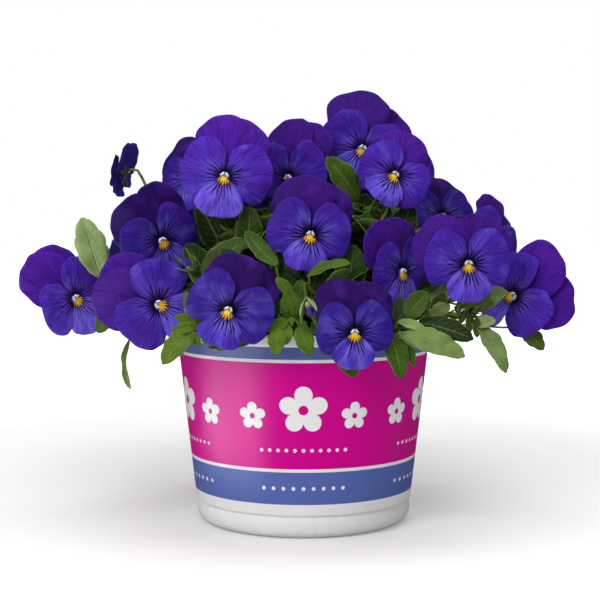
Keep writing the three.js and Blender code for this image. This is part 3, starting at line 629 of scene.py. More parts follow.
# low side stems, each from a share of its shoot through two points, and the small leaves on them and on
# the shoots that fill the gaps between the blooms, in rows like the ones above
sideStems = {
    "leftLow": ("leftFront", 0.92, [(-68, -72, 132), (-62, -84, 134)]),
    "middleLow": ("front", 0.75, [(-14, -78, 134), (-8, -86, 137)]),
    "rightLow": ("rightFront", 0.95, [(84, -64, 137), (104, -68, 135)]),
    "highStalk": ("middleRight", 0.8, [(44, -34, 187), (51, -35, 197), (54, -31, 208)]),
    "highTwin": ("middleRight", 0.85, [(36, -33, 188), (41, -34, 198), (46, -29, 208)]),
}
addedLeaves = [
    ("leftLow", 0.9, (-60, -86, 131), (-77, -90, 128), 7, 0.05, 0.6, 0.65, 0.85),
    ("leftLow", 0.8, (-62, -84, 131), (-75, -85, 137), 7, 0.05, 0.5, 0.55, 0.8),
    ("leftLow", 1.0, (-63, -88, 128), (-59, -90, 137), 6, 0.05, 0.4, 0.5, 0.8),
    ("leftLow", 0.95, (-66, -89, 128), (-60, -93, 120), 6, 0.1, 0.5, 0.7, 0.8),
    ("leftLow", 1.0, (-58, -88, 130), (-54, -92, 119), 7, 0.1, 0.4, 0.5, 0.8),
    ("leftLow", 0.6, (-67, -76, 134), (-69, -78, 151), 5, 0.05, 0.2, 0.6, 0.6),
    ("leftLow", 0.7, (-65, -78, 134), (-65, -80, 146), 4, 0.05, (0.3, -1, 0.2), 0.6, 0.5),
    ("middleLow", 0.6, (-6, -84, 148), (-16, -84, 159), 7, 0.05, (0.1, -1, 0.4), 0.6, 0.7),
    ("middleLow", 0.9, (-7, -87, 136), (-11, -88, 151), 6, 0.05, 0.3, 0.5, 0.6),
    ("middleLow", 1.0, (-7, -89, 134), (-23, -92, 129), 7, 0.08, 0.6, 0.55, 0.9),
    ("middleLow", 1.0, (-10, -90, 133), (-10, -95, 121), 8, 0.1, 0.5, 0.6, 0.9),
    ("middleLow", 0.5, (-4, -80, 141), (-1, -80, 158), 9, 0.06, 0.3, 0.3, 0.3),
    ("frontRight", 0.85, (14, -86, 133), (10, -88, 147), 9, 0.06, 0.3, 0.4, 0.4),
    ("rightFront", 0.8, (55, -88, 134), (71, -93, 129), 6.5, 0.06, 0.7, 0.85, 0.3),
    ("rightFront", 0.85, (55, -90, 128), (65, -97, 119), 5, 0.1, 0.6, 0.85, 0.3),
    ("rightFront", 0.75, (57, -89, 125), (64, -96, 108), 6, 0.1, (0.2, -1, 0.4), 0.5, 0.6),
    ("rightFront", 0.8, (61, -74, 133), (74, -78, 147), 10, 0.06, (0.1, -1, 0.3), 0.2, 0.1),
    ("rightFront", 0.7, (56, -72, 131), (57, -76, 148), 7, 0.06, (-0.3, -1, 0.2), 0.25, 0.1),
    ("rightLow", 0.5, (87, -66, 142), (75, -72, 135), 9, 0.08, 0.5, 0.8, 0.2),
    ("rightLow", 0.9, (112, -62, 148), (91, -70, 141), 12, 0.08, 0.7, 0.6, 0.7),
    ("rightLow", 0.7, (96, -68, 139), (93, -70, 131), 4.5, 0.05, 0.2, 0.3, 0.1),
    ("rightLow", 0.8, (99, -69, 137), (98, -71, 125), 5, 0.05, (0.2, -1, 0.2), 0.3, 0.1),
    ("rightLow", 0.95, (103, -70, 135), (103, -72, 123), 5, 0.05, (-0.2, -1, 0.2), 0.35, 0.1),
    ("rightLow", 0.9, (101, -68, 131), (114, -72, 133), 8, 0.15, 0.3, 0.95, 0.0),
    ("rightLow", 0.3, (78, -62, 136), (84, -66, 149), 9, 0.06, 0.3, 0.25, 0.1),
    ("middleLeft", 0.8, (-50, -8, 170), (-66, -14, 204), 19, 0.06, 0.2, 0.15, 0.0),
    ("middleLeft", 0.9, (-40, -6, 178), (-48, -12, 209), 17, 0.06, (0.2, -1, 0.2), 0.2, 0.0),
    ("middleLeft", 0.6, (-58, -4, 160), (-78, -8, 190), 18, 0.06, 0.2, 0.15, 0.0),
    ("middleRight", 0.8, (32, -8, 176), (40, -12, 209), 18, 0.06, 0.2, 0.15, 0.0),
    ("middleRight", 0.9, (46, -4, 174), (60, -8, 204), 18, 0.06, 0.2, 0.2, 0.0),
    ("middleRight", 0.6, (20, -20, 168), (34, -26, 198), 17, 0.06, 0.2, 0.2, 0.0),
    ("middleLeft", 0.5, (-22, -24, 166), (-16, -28, 198), 17, 0.06, 0.2, 0.2, 0.0),
    ("middleRight", 0.8, (45, -28, 176), (50, -31, 203), 17, 0.06, 0.2, 0.15, 0.0),
    ("middleRight", 0.8, (58, -26, 178), (67, -29, 202), 16, 0.06, 0.2, 0.2, 0.0),
    ("middleRight", 0.7, (32, -34, 172), (40, -36, 197), 14, 0.06, 0.2, 0.3, 0.1),
    ("middleLow", 0.5, (-6, -64, 138), (-14, -67, 164), 14, 0.06, 0.2, 0.3, 0.1),
    ("middleLow", 0.4, (2, -60, 138), (10, -63, 169), 15, 0.06, 0.2, 0.25, 0.1),
    ("frontRight", 0.6, (20, -60, 140), (25, -63, 166), 14, 0.06, 0.2, 0.2, 0.1),
    ("frontRight", 0.9, (8, -78, 134), (2, -82, 147), 9, 0.06, 0.3, 0.35, 0.4),
    ("frontRight", 0.9, (12, -80, 134), (5, -85, 127), 8, 0.1, 0.5, 0.4, 0.5),
    ("middleLow", 0.9, (-3, -82, 135), (1, -88, 125), 7, 0.1, 0.5, 0.45, 0.7),
    ("front", 0.8, (-26, -87, 124), (-51, -90, 117.5), 7, 0.08, 0.5, 0.6, 0.9),
    ("leftFront", 0.4, (-56, -30, 152), (-72, -40, 178), 17, 0.06, 0.2, 0.2, 0.0),
]

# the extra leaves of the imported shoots: a middle value and how far a leaf may differ from it
ruled = dict(aside=(62, 26), rise=(34, 24), length=(40, 6), stalk=(12, 3), arch=(0.1, 0.04), lean=(0, 0.6),
             width=0.46)
# a leaf that would touch a bloom is swung round its start and lifted, by the first pair that clears it
swings = (0, 9, -9, 18, -18, 30, -30, 44, -44)
lifts = (0, 10, -8, 20)

# The pot: footProfile is the radius and height of each corner from the underside up to the groove
potSizes = dict(height=125.0, lipRadius=83.0, lipDepth=7.0, lipStep=1.6, wall=2.0, wallTop=81.0,
                wallFoot=68.6, grooveHeight=14.0, floorRadius=64.0, floor=2.6, step=0.8, sides=192,
                footProfile=[(0, 0), (62.4, 0), (67.3, 3.4), (68.7, 8.0), (68.1, 12.4), (66.3, 14.0),
                             (69.1, 15.3)],
                rounding=[2.4, 2, 4, 1.0, 0.5, 0.5, 0.5, 0.5, 0.8, 0.8, 2, 3],
                drains=5, drainRadius=5.0, drainRing=42.0, drainDepths=(-4, 8), drainSides=32,
                sharpFrom=40)


# the pot's section as radius and height pairs: straight runs between rounded corners, each corner a
# quadratic curve from a short way before it to a short way after
def roundedSection(corners, reach, steps=5):
    corners = np.asarray(corners, float)
    out = [corners[:1]]
    t = np.linspace(0, 1, steps)[:, None]
    for before, corner, after, size in zip(corners, corners[1:], corners[2:], reach):
        start, end = [corner + unit(other - corner) * min(size, np.linalg.norm(other - corner) * 0.45)
                      for other in (before, after)]
        out.append((1 - t) ** 2 * start + 2 * t * (1 - t) * corner + t**2 * end)
    return np.concatenate(out + [corners[-1:]])


# the section swept round Z, with the drain holes cut through the floor
def makePot(sizes):
    height, wall, wallTop = sizes["height"], sizes["wall"], sizes["wallTop"]
    lipFoot = height - sizes["lipDepth"]
    corners = sizes["footProfile"] + [
        (wallTop, lipFoot), (wallTop + sizes["lipStep"], lipFoot + sizes["step"]),
        (sizes["lipRadius"], height), (sizes["lipRadius"] - wall, height),
        (wallTop - wall, lipFoot - wall), (sizes["floorRadius"], sizes["floor"]), (0, sizes["floor"]),
    ]
    section = roundedSection(corners, sizes["rounding"])
    piece = makeObject("potShell", [turnedPart(section[:, 0], section[:, 1], sizes["sides"])], [])
    radius, heights = sizes["drainRadius"], np.repeat(sizes["drainDepths"], 2)
    drill = turnedPart([0, radius, radius, 0], heights, sizes["drainSides"])
    places = unitRing(sizes["drains"]) * sizes["drainRing"]
    cutter = makeObject("drillShapes", [moved(drill, np.eye(3), place) for place in places], [])
    cut = piece.modifiers.new("drainHoles", "BOOLEAN")
    cut.operation = "DIFFERENCE"
    cut.solver = "EXACT"
    cut.object = cutter
    graph = bpy.context.evaluated_depsgraph_get()
    piece.data = bpy.data.meshes.new_from_object(piece.evaluated_get(graph))
    piece.modifiers.clear()
    bpy.data.objects.remove(cutter)
    piece.data.polygons.foreach_set("use_smooth", np.ones(len(piece.data.polygons), bool))
    piece.data.set_sharp_from_angle(angle=np.radians(sizes["sharpFrom"]))
    return piece


# the printed band, in metres: rings of colour from one height to another, and on the pink a white motif
# repeated round the pot, drawn from each point's distance along the wall and its height. A flower is its
# centre and size. The band lies where the radius passes wallFoot + wallSlope x height.
bands = dict(
    rings=[(0.022, 0.042, (92, 110, 182)), (0.044, 0.1085, (216, 0, 148)), (0.1105, 0.118, (92, 106, 172))],
    white=(246, 246, 247), repeats=5, wallRadius=0.075, wallFoot=0.066, wallSlope=0.1192, soft=0.00012,
    flowers=[(0.0, 0.080, 0.0145), (-0.031, 0.076, 0.0085), (0.031, 0.076, 0.0085)],
    dots=dict(height=0.0555, spacing=0.0052, half=0.0286, radius=0.0011),
    footDots=dict(height=0.032, spacing=0.0064, half=0.0288, radius=0.0012),
    dust=(0.3, 0.25, 0.2), grain=2600.0,
)


# white plastic, and each ring and motif a mask of the height, the distance round and the radius
def potMaterial(look):
    material, tree = startMaterial("potPlastic", {"Specular IOR Level": 0.06})
    place = objectPlace(tree)
    x, y, z = splitVector(place)
    soft, repeats = look["soft"], look["repeats"]
    past = lambda value, edge: ramp(value, edge - soft, edge + soft)
    before = lambda value, edge: ramp(value, edge - soft, edge + soft, 1, 0)
    outside = ramp(lengthOf(x, y) - (z * look["wallSlope"] + look["wallFoot"]), -0.0012, -0.0006)
    # the angle round the pot from the front, folded into one repeat, as a distance along the wall
    angle = maths("ARCTAN2", x, y * -1.0)
    across = pastWhole(angle * (repeats / fullTurn)) * (look["wallRadius"] * fullTurn / repeats)

    # a five-petalled flower with a round eye: its rim lies at its size times 0.5 plus half the power 0.6
    # of the cosine of two and a half times the angle
    def flower(centreX, centreZ, size):
        dx, dz = across - centreX, z - centreZ
        reach = lengthOf(dx, dz)
        wave = abs(maths("COSINE", maths("ARCTAN2", dx, dz) * 2.5))
        rim = (wave**0.6 * 0.5 + 0.5) * size
        return past(rim - reach, 0) * past(reach, size * 0.2)

    def dotRow(height, spacing, half, radius):
        dx = pastWhole(across / spacing) * spacing
        shape = before(lengthOf(dx, z - height), radius)
        return shape * ramp(abs(across), half, half + soft, 1, 0)

    grain, cloud = grainOf(place, look["grain"])
    white = tint(*look["white"])
    colour = mixed(ramp(cloud, 0.3, 0.7), white, tuple(c * 0.97 for c in white))
    for low, high, ink in look["rings"]:
        colour = mixed(past(z, low) * before(z, high) * outside, colour, tint(*ink))
    marks = maths("MAXIMUM", dotRow(**look["dots"]), dotRow(**look["footDots"]))
    for row in look["flowers"]:
        marks = maths("MAXIMUM", marks, flower(*row))
    colour = mixed(marks * outside, colour, white)
    # a little soil dust near the foot
    dust = ramp(cloud, 0.55, 0.8) * ramp(z, 0.0, 0.03, 0.05, 0.0)
    return finishMaterial(material, {
        "Base Color": mixed(dust, colour, look["dust"]),
        "Roughness": ramp(cloud, 0.3, 0.7, 0.3, 0.4),
        "Normal": bumpOf(grain, 0.00004),
    })


pot = makePot(potSizes)
pot.data.materials.append(potMaterial(bands))
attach(pot, "root")
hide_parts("pot")
print("pot made")

# The potting mix: its top falls from the middle over a shoulder to the edge
soilSizes = dict(gap=0.3, clear=0.9, edge=110.0, shoulder=111.8, shoulderPart=0.7, middle=113.0, sides=144,
                 rings=44, lumps=0.75, crumbs=520, perlite=90, crumbSize=1.3, perliteSize=0.9)
soilLook = dict(dark=tint(38, 27, 20), brown=tint(92, 68, 48), damp=tint(58, 42, 30),
                perlite=tint(214, 208, 196))


# the top is a disc whose height falls from the middle to the edge, with lumps that are sums of sines of
# x and y; the sides follow the inside of the pot
def makeSoil(sizes, materials):
    lipFoot = potSizes["height"] - potSizes["lipDepth"]
    slope = (potSizes["wallTop"] - potSizes["wallFoot"]) / (lipFoot - potSizes["grooveHeight"])
    wallAt = potSizes["wallFoot"] + slope * (sizes["edge"] - potSizes["grooveHeight"])
    topRadius = wallAt - potSizes["wall"] - sizes["clear"]
    footRadius = potSizes["floorRadius"] - 2 * sizes["gap"]
    falls = [sizes["middle"], sizes["shoulder"], sizes["edge"]]
    heightAt = lambda share: np.interp(share, [0, sizes["shoulderPart"], 1], falls)
    ring = unitRing(sizes["sides"])
    radii = topRadius * np.linspace(1, 0.02, sizes["rings"])[:, None]
    x, y = radii * ring[:, 0], radii * ring[:, 1]
    share = radii / topRadius + 0 * x
    lumps = np.sin(0.31 * x + 1.3) * np.sin(0.27 * y + 0.4) + 0.6 * np.sin(0.71 * x + 0.53 * y)
    lumps += 0.5 * np.sin(1.3 * x - 0.9 * y + 2) * np.sin(1.1 * y + 0.7 * x)
    lumps += 0.35 * draw(np.round(x * 7 + y * 13))
    top = gridVectors(x, y, heightAt(share) + sizes["lumps"] * lumps * ease(1.0, 0.9, share))
    foot = up * (potSizes["floor"] + sizes["gap"])
    grid = np.concatenate([[ring * 0.01 + foot, ring * footRadius + foot], top])
    points = np.concatenate([grid.reshape(-1, 3), [foot, up * sizes["middle"]]])
    parts = [part(points, polarFaces(len(grid), sizes["sides"]))]
    for i in range(sizes["crumbs"] + sizes["perlite"]):
        pale = i >= sizes["crumbs"]
        reach = topRadius * 0.97 * np.sqrt(abs(draw(7000 + i)))
        angle = np.pi * draw(7900 + i)
        size = (sizes["perliteSize"] if pale else sizes["crumbSize"]) + 0.5 * draw(8800 + i)
        crumb = turnedPart([0, 0.8, 1, 0.7, 0], [-0.8, -0.5, 0.1, 0.6, 0.8], 6, (float(pale), 0, 0))
        jitter = draw(9700 + 31 * i + np.arange(crumb["points"].size)).reshape(-1, 3)
        crumb["points"] = crumb["points"] * (1 + 0.28 * jitter)
        place = [reach * np.cos(angle), reach * np.sin(angle), heightAt(reach / topRadius) + 0.5]
        parts.append(moved(crumb, np.eye(3), place, size))
    return makeObject("pottingMix", parts, materials)


# dark crumbs to brown ones by fine noise, damp in broad patches, and perlite by its tone
def soilMaterial(look):
    material, tree = startMaterial("pottingMix", {"Roughness": 0.95, "Specular IOR Level": 0.2})
    grain, cloud = grainOf(objectPlace(tree), 900.0)
    colour = mixed(ramp(grain, 0.35, 0.65), look["dark"], look["brown"])
    colour = mixed(ramp(cloud, 0.35, 0.65, 0, 0.5), colour, look["damp"])
    colour = mixed(readVector(tree, "tone")[0], colour, look["perlite"])
    return finishMaterial(material, {"Base Color": colour, "Normal": bumpOf(grain, 0.0006)})


soil = makeSoil(soilSizes, [soilMaterial(soilLook)])
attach(soil, "root")
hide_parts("soil")
print("potting mix made")

# The petals
petalLook = dict(
    upper=tint(86, 27, 172), upperDeep=tint(41, 8, 85), lateral=tint(84, 46, 194),
    lateralDeep=tint(51, 26, 146), lower=tint(128, 100, 255), lowerDeep=tint(80, 54, 200),
    dark=tint(7, 2, 24), back=tint(78, 60, 180),
    # edge: the colour of the painted highlight along a petal's rim
    edge=tint(104, 84, 206), pale=tint(138, 124, 244), purple=tint(78, 26, 140),
    yellow=tint(255, 214, 8), orange=tint(250, 172, 2), rust=tint(84, 26, 26), vein=tint(40, 16, 104),
    hair=tint(252, 250, 252), stigma=tint(150, 156, 40), sheen=(0.4, 0.3, 1.0, 1.0),
)


# a petal's colour in layers, each a mask of its fan, its reach from the eye and noise
def petalMaterial(look):
    material, tree = startMaterial("petalSkin", {"Specular IOR Level": 0.07, "Sheen Weight": 0.02,
                                                 "Sheen Roughness": 0.4, "Sheen Tint": look["sheen"]})
    along, aside, rim = readVector(tree, "spot")
    kind, fan, side = readVector(tree, "tone")
    seed, deepToneAndShade, _ = readVector(tree, "seeds")
    reach = lengthOf(along, aside)
    # colour by the kind of petal, each from its bright to its dark colour by how dark the bloom is: partly
    # its own tone and partly painted shade
    kinds = ("upper", "lateral", "lower")
    upper, lateral, lower = [mixed(deepToneAndShade, look[key], look[key + "Deep"]) for key in kinds]
    colour = mixed(ramp(kind, 0.5, 1.0), mixed(ramp(kind, 0.0, 0.5), upper, lateral), lower)
    # fine veins: noise stretched along each petal's length, in the petal's own fan of directions
    veins = noiseOf(vectorOf(fan * 9.0, reach * 1.1, seed), 2.4, 5.0, 0.7)
    cloudPlace = vectorOf(fan * 1.6, reach * 1.4, seed)
    cloud = noiseOf(cloudPlace, 1.4, 2.0)
    colour = mixed(ramp(veins, 0.44, 0.68, 0, 0.75), colour, look["vein"])
    colour = mixed(ramp(cloud, 0.48, 0.75, 0, 0.55), colour, look["purple"])
    colour = mixed(ramp(cloud, 0.5, 0.28, 0, 1) * ramp(kind, 0.1, 1.0, 0.0, 0.5), colour, look["pale"])
    # pale streaks between the rays near the eye of the side and lower petals
    glow = ramp(reach, 0.12, 0.3) * ramp(reach, 0.3, 0.62, 1, 0)
    streaks = glow * ramp(veins, 0.56, 0.36, 0, 0.75) * ramp(kind, 0.2, 0.9, 0.0, 1.0)
    colour = mixed(streaks, colour, look["pale"])
    # a thin paler rim: painted highlight along each petal's edge
    colour = mixed(ramp(rim, 0.965, 1.0, 0, 0.07), colour, look["edge"])
    # guide rays: fine lines along the fan, each with its own length, that thin out to a point
    wobble = (noiseOf(cloudPlace, 5.0) - 0.5) * 0.7
    way = fan * ramp(kind, 0.5, 1.0, 5.6, 5.2) + wobble
    luck = wireOf(tree, "ShaderNodeTexWhiteNoise", "Value", dict(W=round(way) + seed * 17.0),
                  noise_dimensions="1D")
    longest = ramp(kind, 0.0, 0.5, 0.1, 0.3) + ramp(kind, 0.5, 1.0, 0, 0.06) + luck * 0.2
    longest = longest * ramp(abs(fan), 0.5, 1.0, 1, 0.45)
    left = maths("SUBTRACT", 1.0, reach / longest, clamp=True)
    rays = ramp(left**0.6 * 0.33 - abs(pastWhole(way)), -0.05, 0.07) * ramp(left, 0.0, 0.15)
    # a dark ring round the eye: partly the bloom's own dark centre and partly painted shade in its throat,
    # fainter on the upper petals
    haloAndThroatShade = ramp(reach + wobble * 0.07, 0.1, 0.28, 0.95, 0) * ramp(kind, 0.0, 0.45, 0.25, 1.0)
    colour = mixed(maths("MAXIMUM", rays, haloAndThroatShade), colour, look["dark"])
    # the yellow throat at the foot of the lower petal: teeth run out between the rays, with a brown rim
    tooth = abs(pastWhole(fan * 3.4 + wobble * 0.5))
    throat = maths("SQRT", along * along + aside * aside * 1.5) + tooth * 0.2
    onLower = ramp(kind, 0.8, 0.95)
    colour = mixed(ramp(throat, 0.21, 0.235, 0.9, 0) * onLower, colour, look["rust"])
    gold = mixed(ramp(throat, 0.13, 0.2), look["yellow"], look["orange"])
    colour = mixed(ramp(throat, 0.19, 0.21, 1, 0) * onLower, colour, gold)
    back = mixed(ramp(veins, 0.4, 0.7, 0, 0.4), look["back"], look["purple"])
    return finishMaterial(material, {
        "Base Color": mixed(side, back, colour),
        "Roughness": ramp(veins, 0.3, 0.7, 0.5, 0.66),
        "Normal": bumpOf(veins + cloud * 1.8, 0.0012, 0.9),
    })


# white hairs, the green stigma and the yellow mound of a bloom's eye, told apart by tone
def eyeMaterial(look):
    material, tree = startMaterial("eyeSkin", {"Roughness": 0.6})
    tone = readVector(tree, "tone")[0]
    grain, cloud = grainOf(objectPlace(tree), 1500.0)
    colour = mixed(ramp(tone, 0.2, 0.3), look["hair"], look["stigma"])
    gold = mixed(ramp(cloud, 0.4, 0.7, 0, 0.3), look["yellow"], look["orange"])
    colour = mixed(ramp(tone, 0.7, 0.8), colour, gold)
    return finishMaterial(material, {"Base Color": colour, "Normal": bumpOf(grain, 0.0002)})


# the petals' grid, the reach in millimetres that their material takes as 1, and their waves, each as
# height, pace across the fan and the number of its phase
petalGrid = dict(rows=17, columns=33, reach=30, thickness=0.4, foldHeight=1.25, ruffleHeight=0.65,
                 curl=1.1, dip=1.2,
                 scallops=[(0.028, 6.1, 0), (0.018, 11.0, 1), (0.01, 21, 6)],
                 folds=[(1, 3.3, 2), (0.6, 5.9, 3)], ruffles=[(1, 10, 4), (0.6, 17, 5)])


# A petal as a fan from its narrow foot to a round rim: a point is the foot plus a share of the way to
# the rim. Its depth is lift + slope x length - bend x distance squared; broad folds grow with the share,
# fine ruffles with its fourth power, and both are sums of sines of the place in the fan. The rim curls
# back and the foot dips, each by a smooth S.
def petalPart(row, seed, bend, spread, deepToneAndShade, size):
    sizes, shape = petalSizes, petalGrid
    length = row["length"] * (1 + sizes["lengthSpread"] * draw(seed))
    heading = np.radians(row["angle"] + row["fan"] * spread + sizes["turnSpread"] * draw(seed + 1))
    share = np.linspace(0, 1, shape["rows"])[:, None] ** 0.85
    fan = np.linspace(-1, 1, shape["columns"])[None, :]
    phase = np.pi * draw(seed + 30 + np.arange(9))
    waves = lambda key: sum(high * np.sin(pace * fan + phase[k]) for high, pace, k in shape[key])
    centre = row["widest"] * length
    turn = np.radians(row["span"]) * fan
    scallop = 1 + waves("scallops") + 0.045 * fan * np.sin(phase[7])
    rimAlong = centre + (length - centre) * np.cos(turn) * scallop - row["notch"] * np.exp(-(fan / 0.13) ** 2)
    rimAside = row["width"] / 2 * np.sin(turn) * scallop
    along = sizes["baseAlong"] + (rimAlong - sizes["baseAlong"]) * share
    aside = sizes["baseHalfWidth"] * fan + (rimAside - sizes["baseHalfWidth"] * fan) * share
    aside = aside + row["bulge"] * np.sin(np.pi * share) * fan**3
    away = along**2 + aside**2
    depth = row["lift"] + row["slope"] * along - bend * away
    depth = depth + shape["foldHeight"] * waves("folds") * share**1.6
    depth = depth + shape["ruffleHeight"] * waves("ruffles") * share**4
    depth = depth + 0.12 * np.sin(14 * fan + phase[8]) * share
    depth = depth - shape["curl"] * ease(0.72, 1.0, share) - shape["dip"] * ease(5, 1, np.sqrt(away))
    x = along * np.cos(heading) - aside * np.sin(heading)
    y = along * np.sin(heading) + aside * np.cos(heading)
    thickness = shape["thickness"] * (1 - 0.6 * ease(0.8, 1.0, share))
    spot = gridVectors(along * size / shape["reach"], aside * size / shape["reach"], share)
    piece = sheetPart(gridVectors(x, y, depth), thickness, spot, (row["kind"], 0, 0))
    piece["tone"][:, 1] = np.tile((fan + 0 * share).ravel(), 2)
    piece["seeds"] = np.broadcast_to([abs(draw(seed + 9)) * 10, deepToneAndShade, 0], piece["tone"].shape)
    return piece


# a fine tapering hair: a three-sided cone from root to tip
def hairPart(root, tip, radius):
    ahead = unit(tip - root)
    side = unit(np.cross(ahead, up + 0.1))
    circle = unitRing(3)
    ring = root + radius * (circle[:, :1] * side + circle[:, 1:2] * np.cross(ahead, side))
    faces = np.array([[0, 1, 3, -1], [1, 2, 3, -1], [2, 0, 3, -1], [2, 1, 0, -1]])
    return part(np.concatenate([ring, [tip]]), faces)


eyeSizes = dict(mound=(1.9, 1.6, 0.4), moundPlace=(0, -1.2, 1.05), stigma=0.72, stigmaPlace=(0, 0.5, 1.7),
                tuft=(0.62, 1.45, 0.5), tuftPlace=(1.35, 1.05, 1.5), tuftTurn=38, hairs=40, hairLength=1.2,
                hairRadius=0.17, hairRow=2.6, hairSway=0.5, hairLift=0.3, hairSpread=0.6)
eyeTones = dict(hair=0.0, stigma=0.5, mound=1.0)


# the eye: a low yellow mound, a round stigma above it, and two tufts of white hairs in an upturned V
def eyeParts(seed):
    sizes = eyeSizes
    arc = np.linspace(0, np.pi, 8)
    ball = turnedPart(np.sin(arc), -np.cos(arc), 12)
    shaped = lambda points: dict(ball, points=points)
    dress = lambda piece, kind: dict(piece, tone=piece["tone"] + [eyeTones[kind], 0, 0],
                                     material=piece["material"] + 1)
    out = [dress(shaped(ball["points"] * sizes["mound"] + sizes["moundPlace"]), "mound"),
           dress(shaped(ball["points"] * sizes["stigma"] + sizes["stigmaPlace"]), "stigma")]
    onTuft = lambda points, side: (spin(points, up, side * sizes["tuftTurn"])
                                   + np.array(sizes["tuftPlace"]) * [side, 1, 1])
    for side in (-1, 1):
        out.append(dress(shaped(onTuft(ball["points"] * sizes["tuft"], side)), "hair"))
    for i in range(sizes["hairs"]):
        side = 1 if i % 2 else -1
        share = (i // 2) / (sizes["hairs"] / 2 - 1) - 0.5
        sway = draw(seed + 300 + 5 * i + np.arange(5))
        root = onTuft([sizes["hairSway"] * sway[3], sizes["hairRow"] * share, sizes["hairLift"]], side)
        lean = np.array([-side * 0.15, -0.3, 1]) + sizes["hairSpread"] * sway[:3]
        hair = hairPart(root, root + unit(lean) * sizes["hairLength"], sizes["hairRadius"])
        out.append(dress(hair, "hair"))
    return out


# the way a bloom or bud looks: its own +Z turned down from up, then round from the front
def lookMatrix(aside, rise, turn=0.0):
    a, b, c = np.radians([aside, 90 - rise, turn])
    aboutZ = lambda t: np.array([[np.cos(t), -np.sin(t), 0], [np.sin(t), np.cos(t), 0], [0, 0, 1]])
    aboutX = np.array([[1, 0, 0], [0, np.cos(b), -np.sin(b)], [0, np.sin(b), np.cos(b)]])
    return aboutZ(a) @ aboutX @ aboutZ(c)


petalSkin = petalMaterial(petalLook)
eyeSkin = eyeMaterial(petalLook)
blooms = []
for i, (eye, look, turn, size, spread, _, _, deepToneAndShade) in enumerate(bloomRows):
    seed = 1000 * (i + 1)
    matrix = lookMatrix(*look, turn)
    bend = petalSizes["bend"] * (1 - petalSizes["bendSpread"] * (1 - draw(seed)))
    parts = [petalPart(row, seed + 20 * (k + 1), bend, spread, deepToneAndShade, size)
             for k, row in enumerate(petalKinds)]
    parts += [tubePart(petalSizes["spurPath"], petalSizes["spurRadii"], 10)] + eyeParts(seed)
    parts = [moved({"seeds": 0 * piece["tone"], **piece}, matrix, eye, size) for piece in parts]
    bloom = makeObject(f"bloom{i + 1}", parts, [petalSkin, eyeSkin])
    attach(bloom, "root")
    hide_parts(f"bloom_{i + 1}")
    blooms.append(dict(eye=np.array(eye, float), matrix=matrix, size=size))
print("blooms made:", len(blooms))

# The leaves
leafLook = dict(light=tint(160, 186, 114), middle=tint(66, 94, 32), dark=tint(24, 40, 15),
                fresh=tint(86, 118, 3), vein=tint(156, 182, 104), under=tint(110, 134, 76),
                stem=tint(110, 134, 50))


# a leaf's colour in layers, each a mask of its shade (partly painted light and shade), its veins, its
# edge and noise
def leafMaterial(look):
    material, tree = startMaterial("leafSkin", {"Specular IOR Level": 0.1})
    along, across, fresh = readVector(tree, "spot")
    shade, stalk, side = readVector(tree, "tone")
    grain, cloud = grainOf(objectPlace(tree), 1400.0)
    colour = mixed(ramp(shade, 0.0, 0.5), look["dark"], look["middle"])
    colour = mixed(ramp(shade, 0.5, 1.0), colour, look["light"])
    colour = mixed(fresh * 0.9, colour, look["fresh"])
    colour = mixed(ramp(cloud, 0.35, 0.7, 0, 0.35), colour, look["dark"])
    # side veins: lines at equal steps along the midrib that lean towards the tip as they go out
    out = abs(across)
    off = abs(pastWhole((along - out * 0.2) * 8.0))
    sideVeins = ramp(off, 0.02, 0.2, 1, 0) * ramp(out, 0.5, 0.95, 1, 0)
    veins = maths("MAXIMUM", sideVeins * 0.26, ramp(out, 0.02, 0.09, 1, 0)) * ramp(along, 0.8, 0.97, 1, 0)
    colour = mixed(veins * 0.32, colour, look["vein"])
    colour = mixed(ramp(out, 0.88, 1.0, 0, 0.25), colour, look["light"])
    under = mixed(veins * 0.6, look["under"], look["vein"])
    under = mixed(ramp(shade, 0.1, 0.7, 0.6, 0.0), under, look["middle"])
    stem = mixed(ramp(cloud, 0.35, 0.65), look["stem"], look["middle"])
    return finishMaterial(material, {
        "Base Color": mixed(stalk, mixed(side, colour, under), stem),
        "Roughness": ramp(grain, 0.3, 0.7, 0.4, 0.56),
        "Normal": bumpOf(grain * 0.4 - veins, 0.0009, 0.7),
    })


# half the width of a packed leaf of width 1: half a sine, widest past the middle and blunt at the tip
def leafHalfWidth(share):
    return 0.5 * np.sin(np.pi * share**0.85) ** 0.75


# the finished outline is fuller: a blade with a round tip
def leafOutline(share):
    return 0.5 * np.sin(np.pi * share**0.94) ** 0.62


# the leaf's middle surface: base + chord x share + across x aside, where across is square to the chord
# and to the way the leaf faces, raised by an arch that is a parabola along the chord and by a fold that
# grows with the distance from the midrib
def leafSurface(leaf, share, aside):
    chord = leaf["tip"] - leaf["base"]
    length = np.linalg.norm(chord)
    ahead = chord / length
    across = unit(np.cross(ahead, leaf["face"]))
    outward = np.cross(across, ahead)
    rise = 4 * leaf["arch"] * length * share * (1 - share)
    rise = rise + leafSizes["fold"] * (np.sqrt(aside**2 + 0.5) - 0.7)
    wave = leaf.get("wave", 0.9) * np.sin(9 * share + leaf["phase"]) * (2 * aside / leaf["width"]) ** 3
    return (leaf["base"] + chord * share[..., None] + across * aside[..., None]
            + outward * (rise + wave)[..., None])


# how finely a leaf is drawn: the ones that only fill the bush are coarse
leafGrids = dict(fine=dict(rows=27, columns=7, teeth=4, rings=7),
                 coarse=dict(rows=13, columns=3, teeth=3, rings=4))


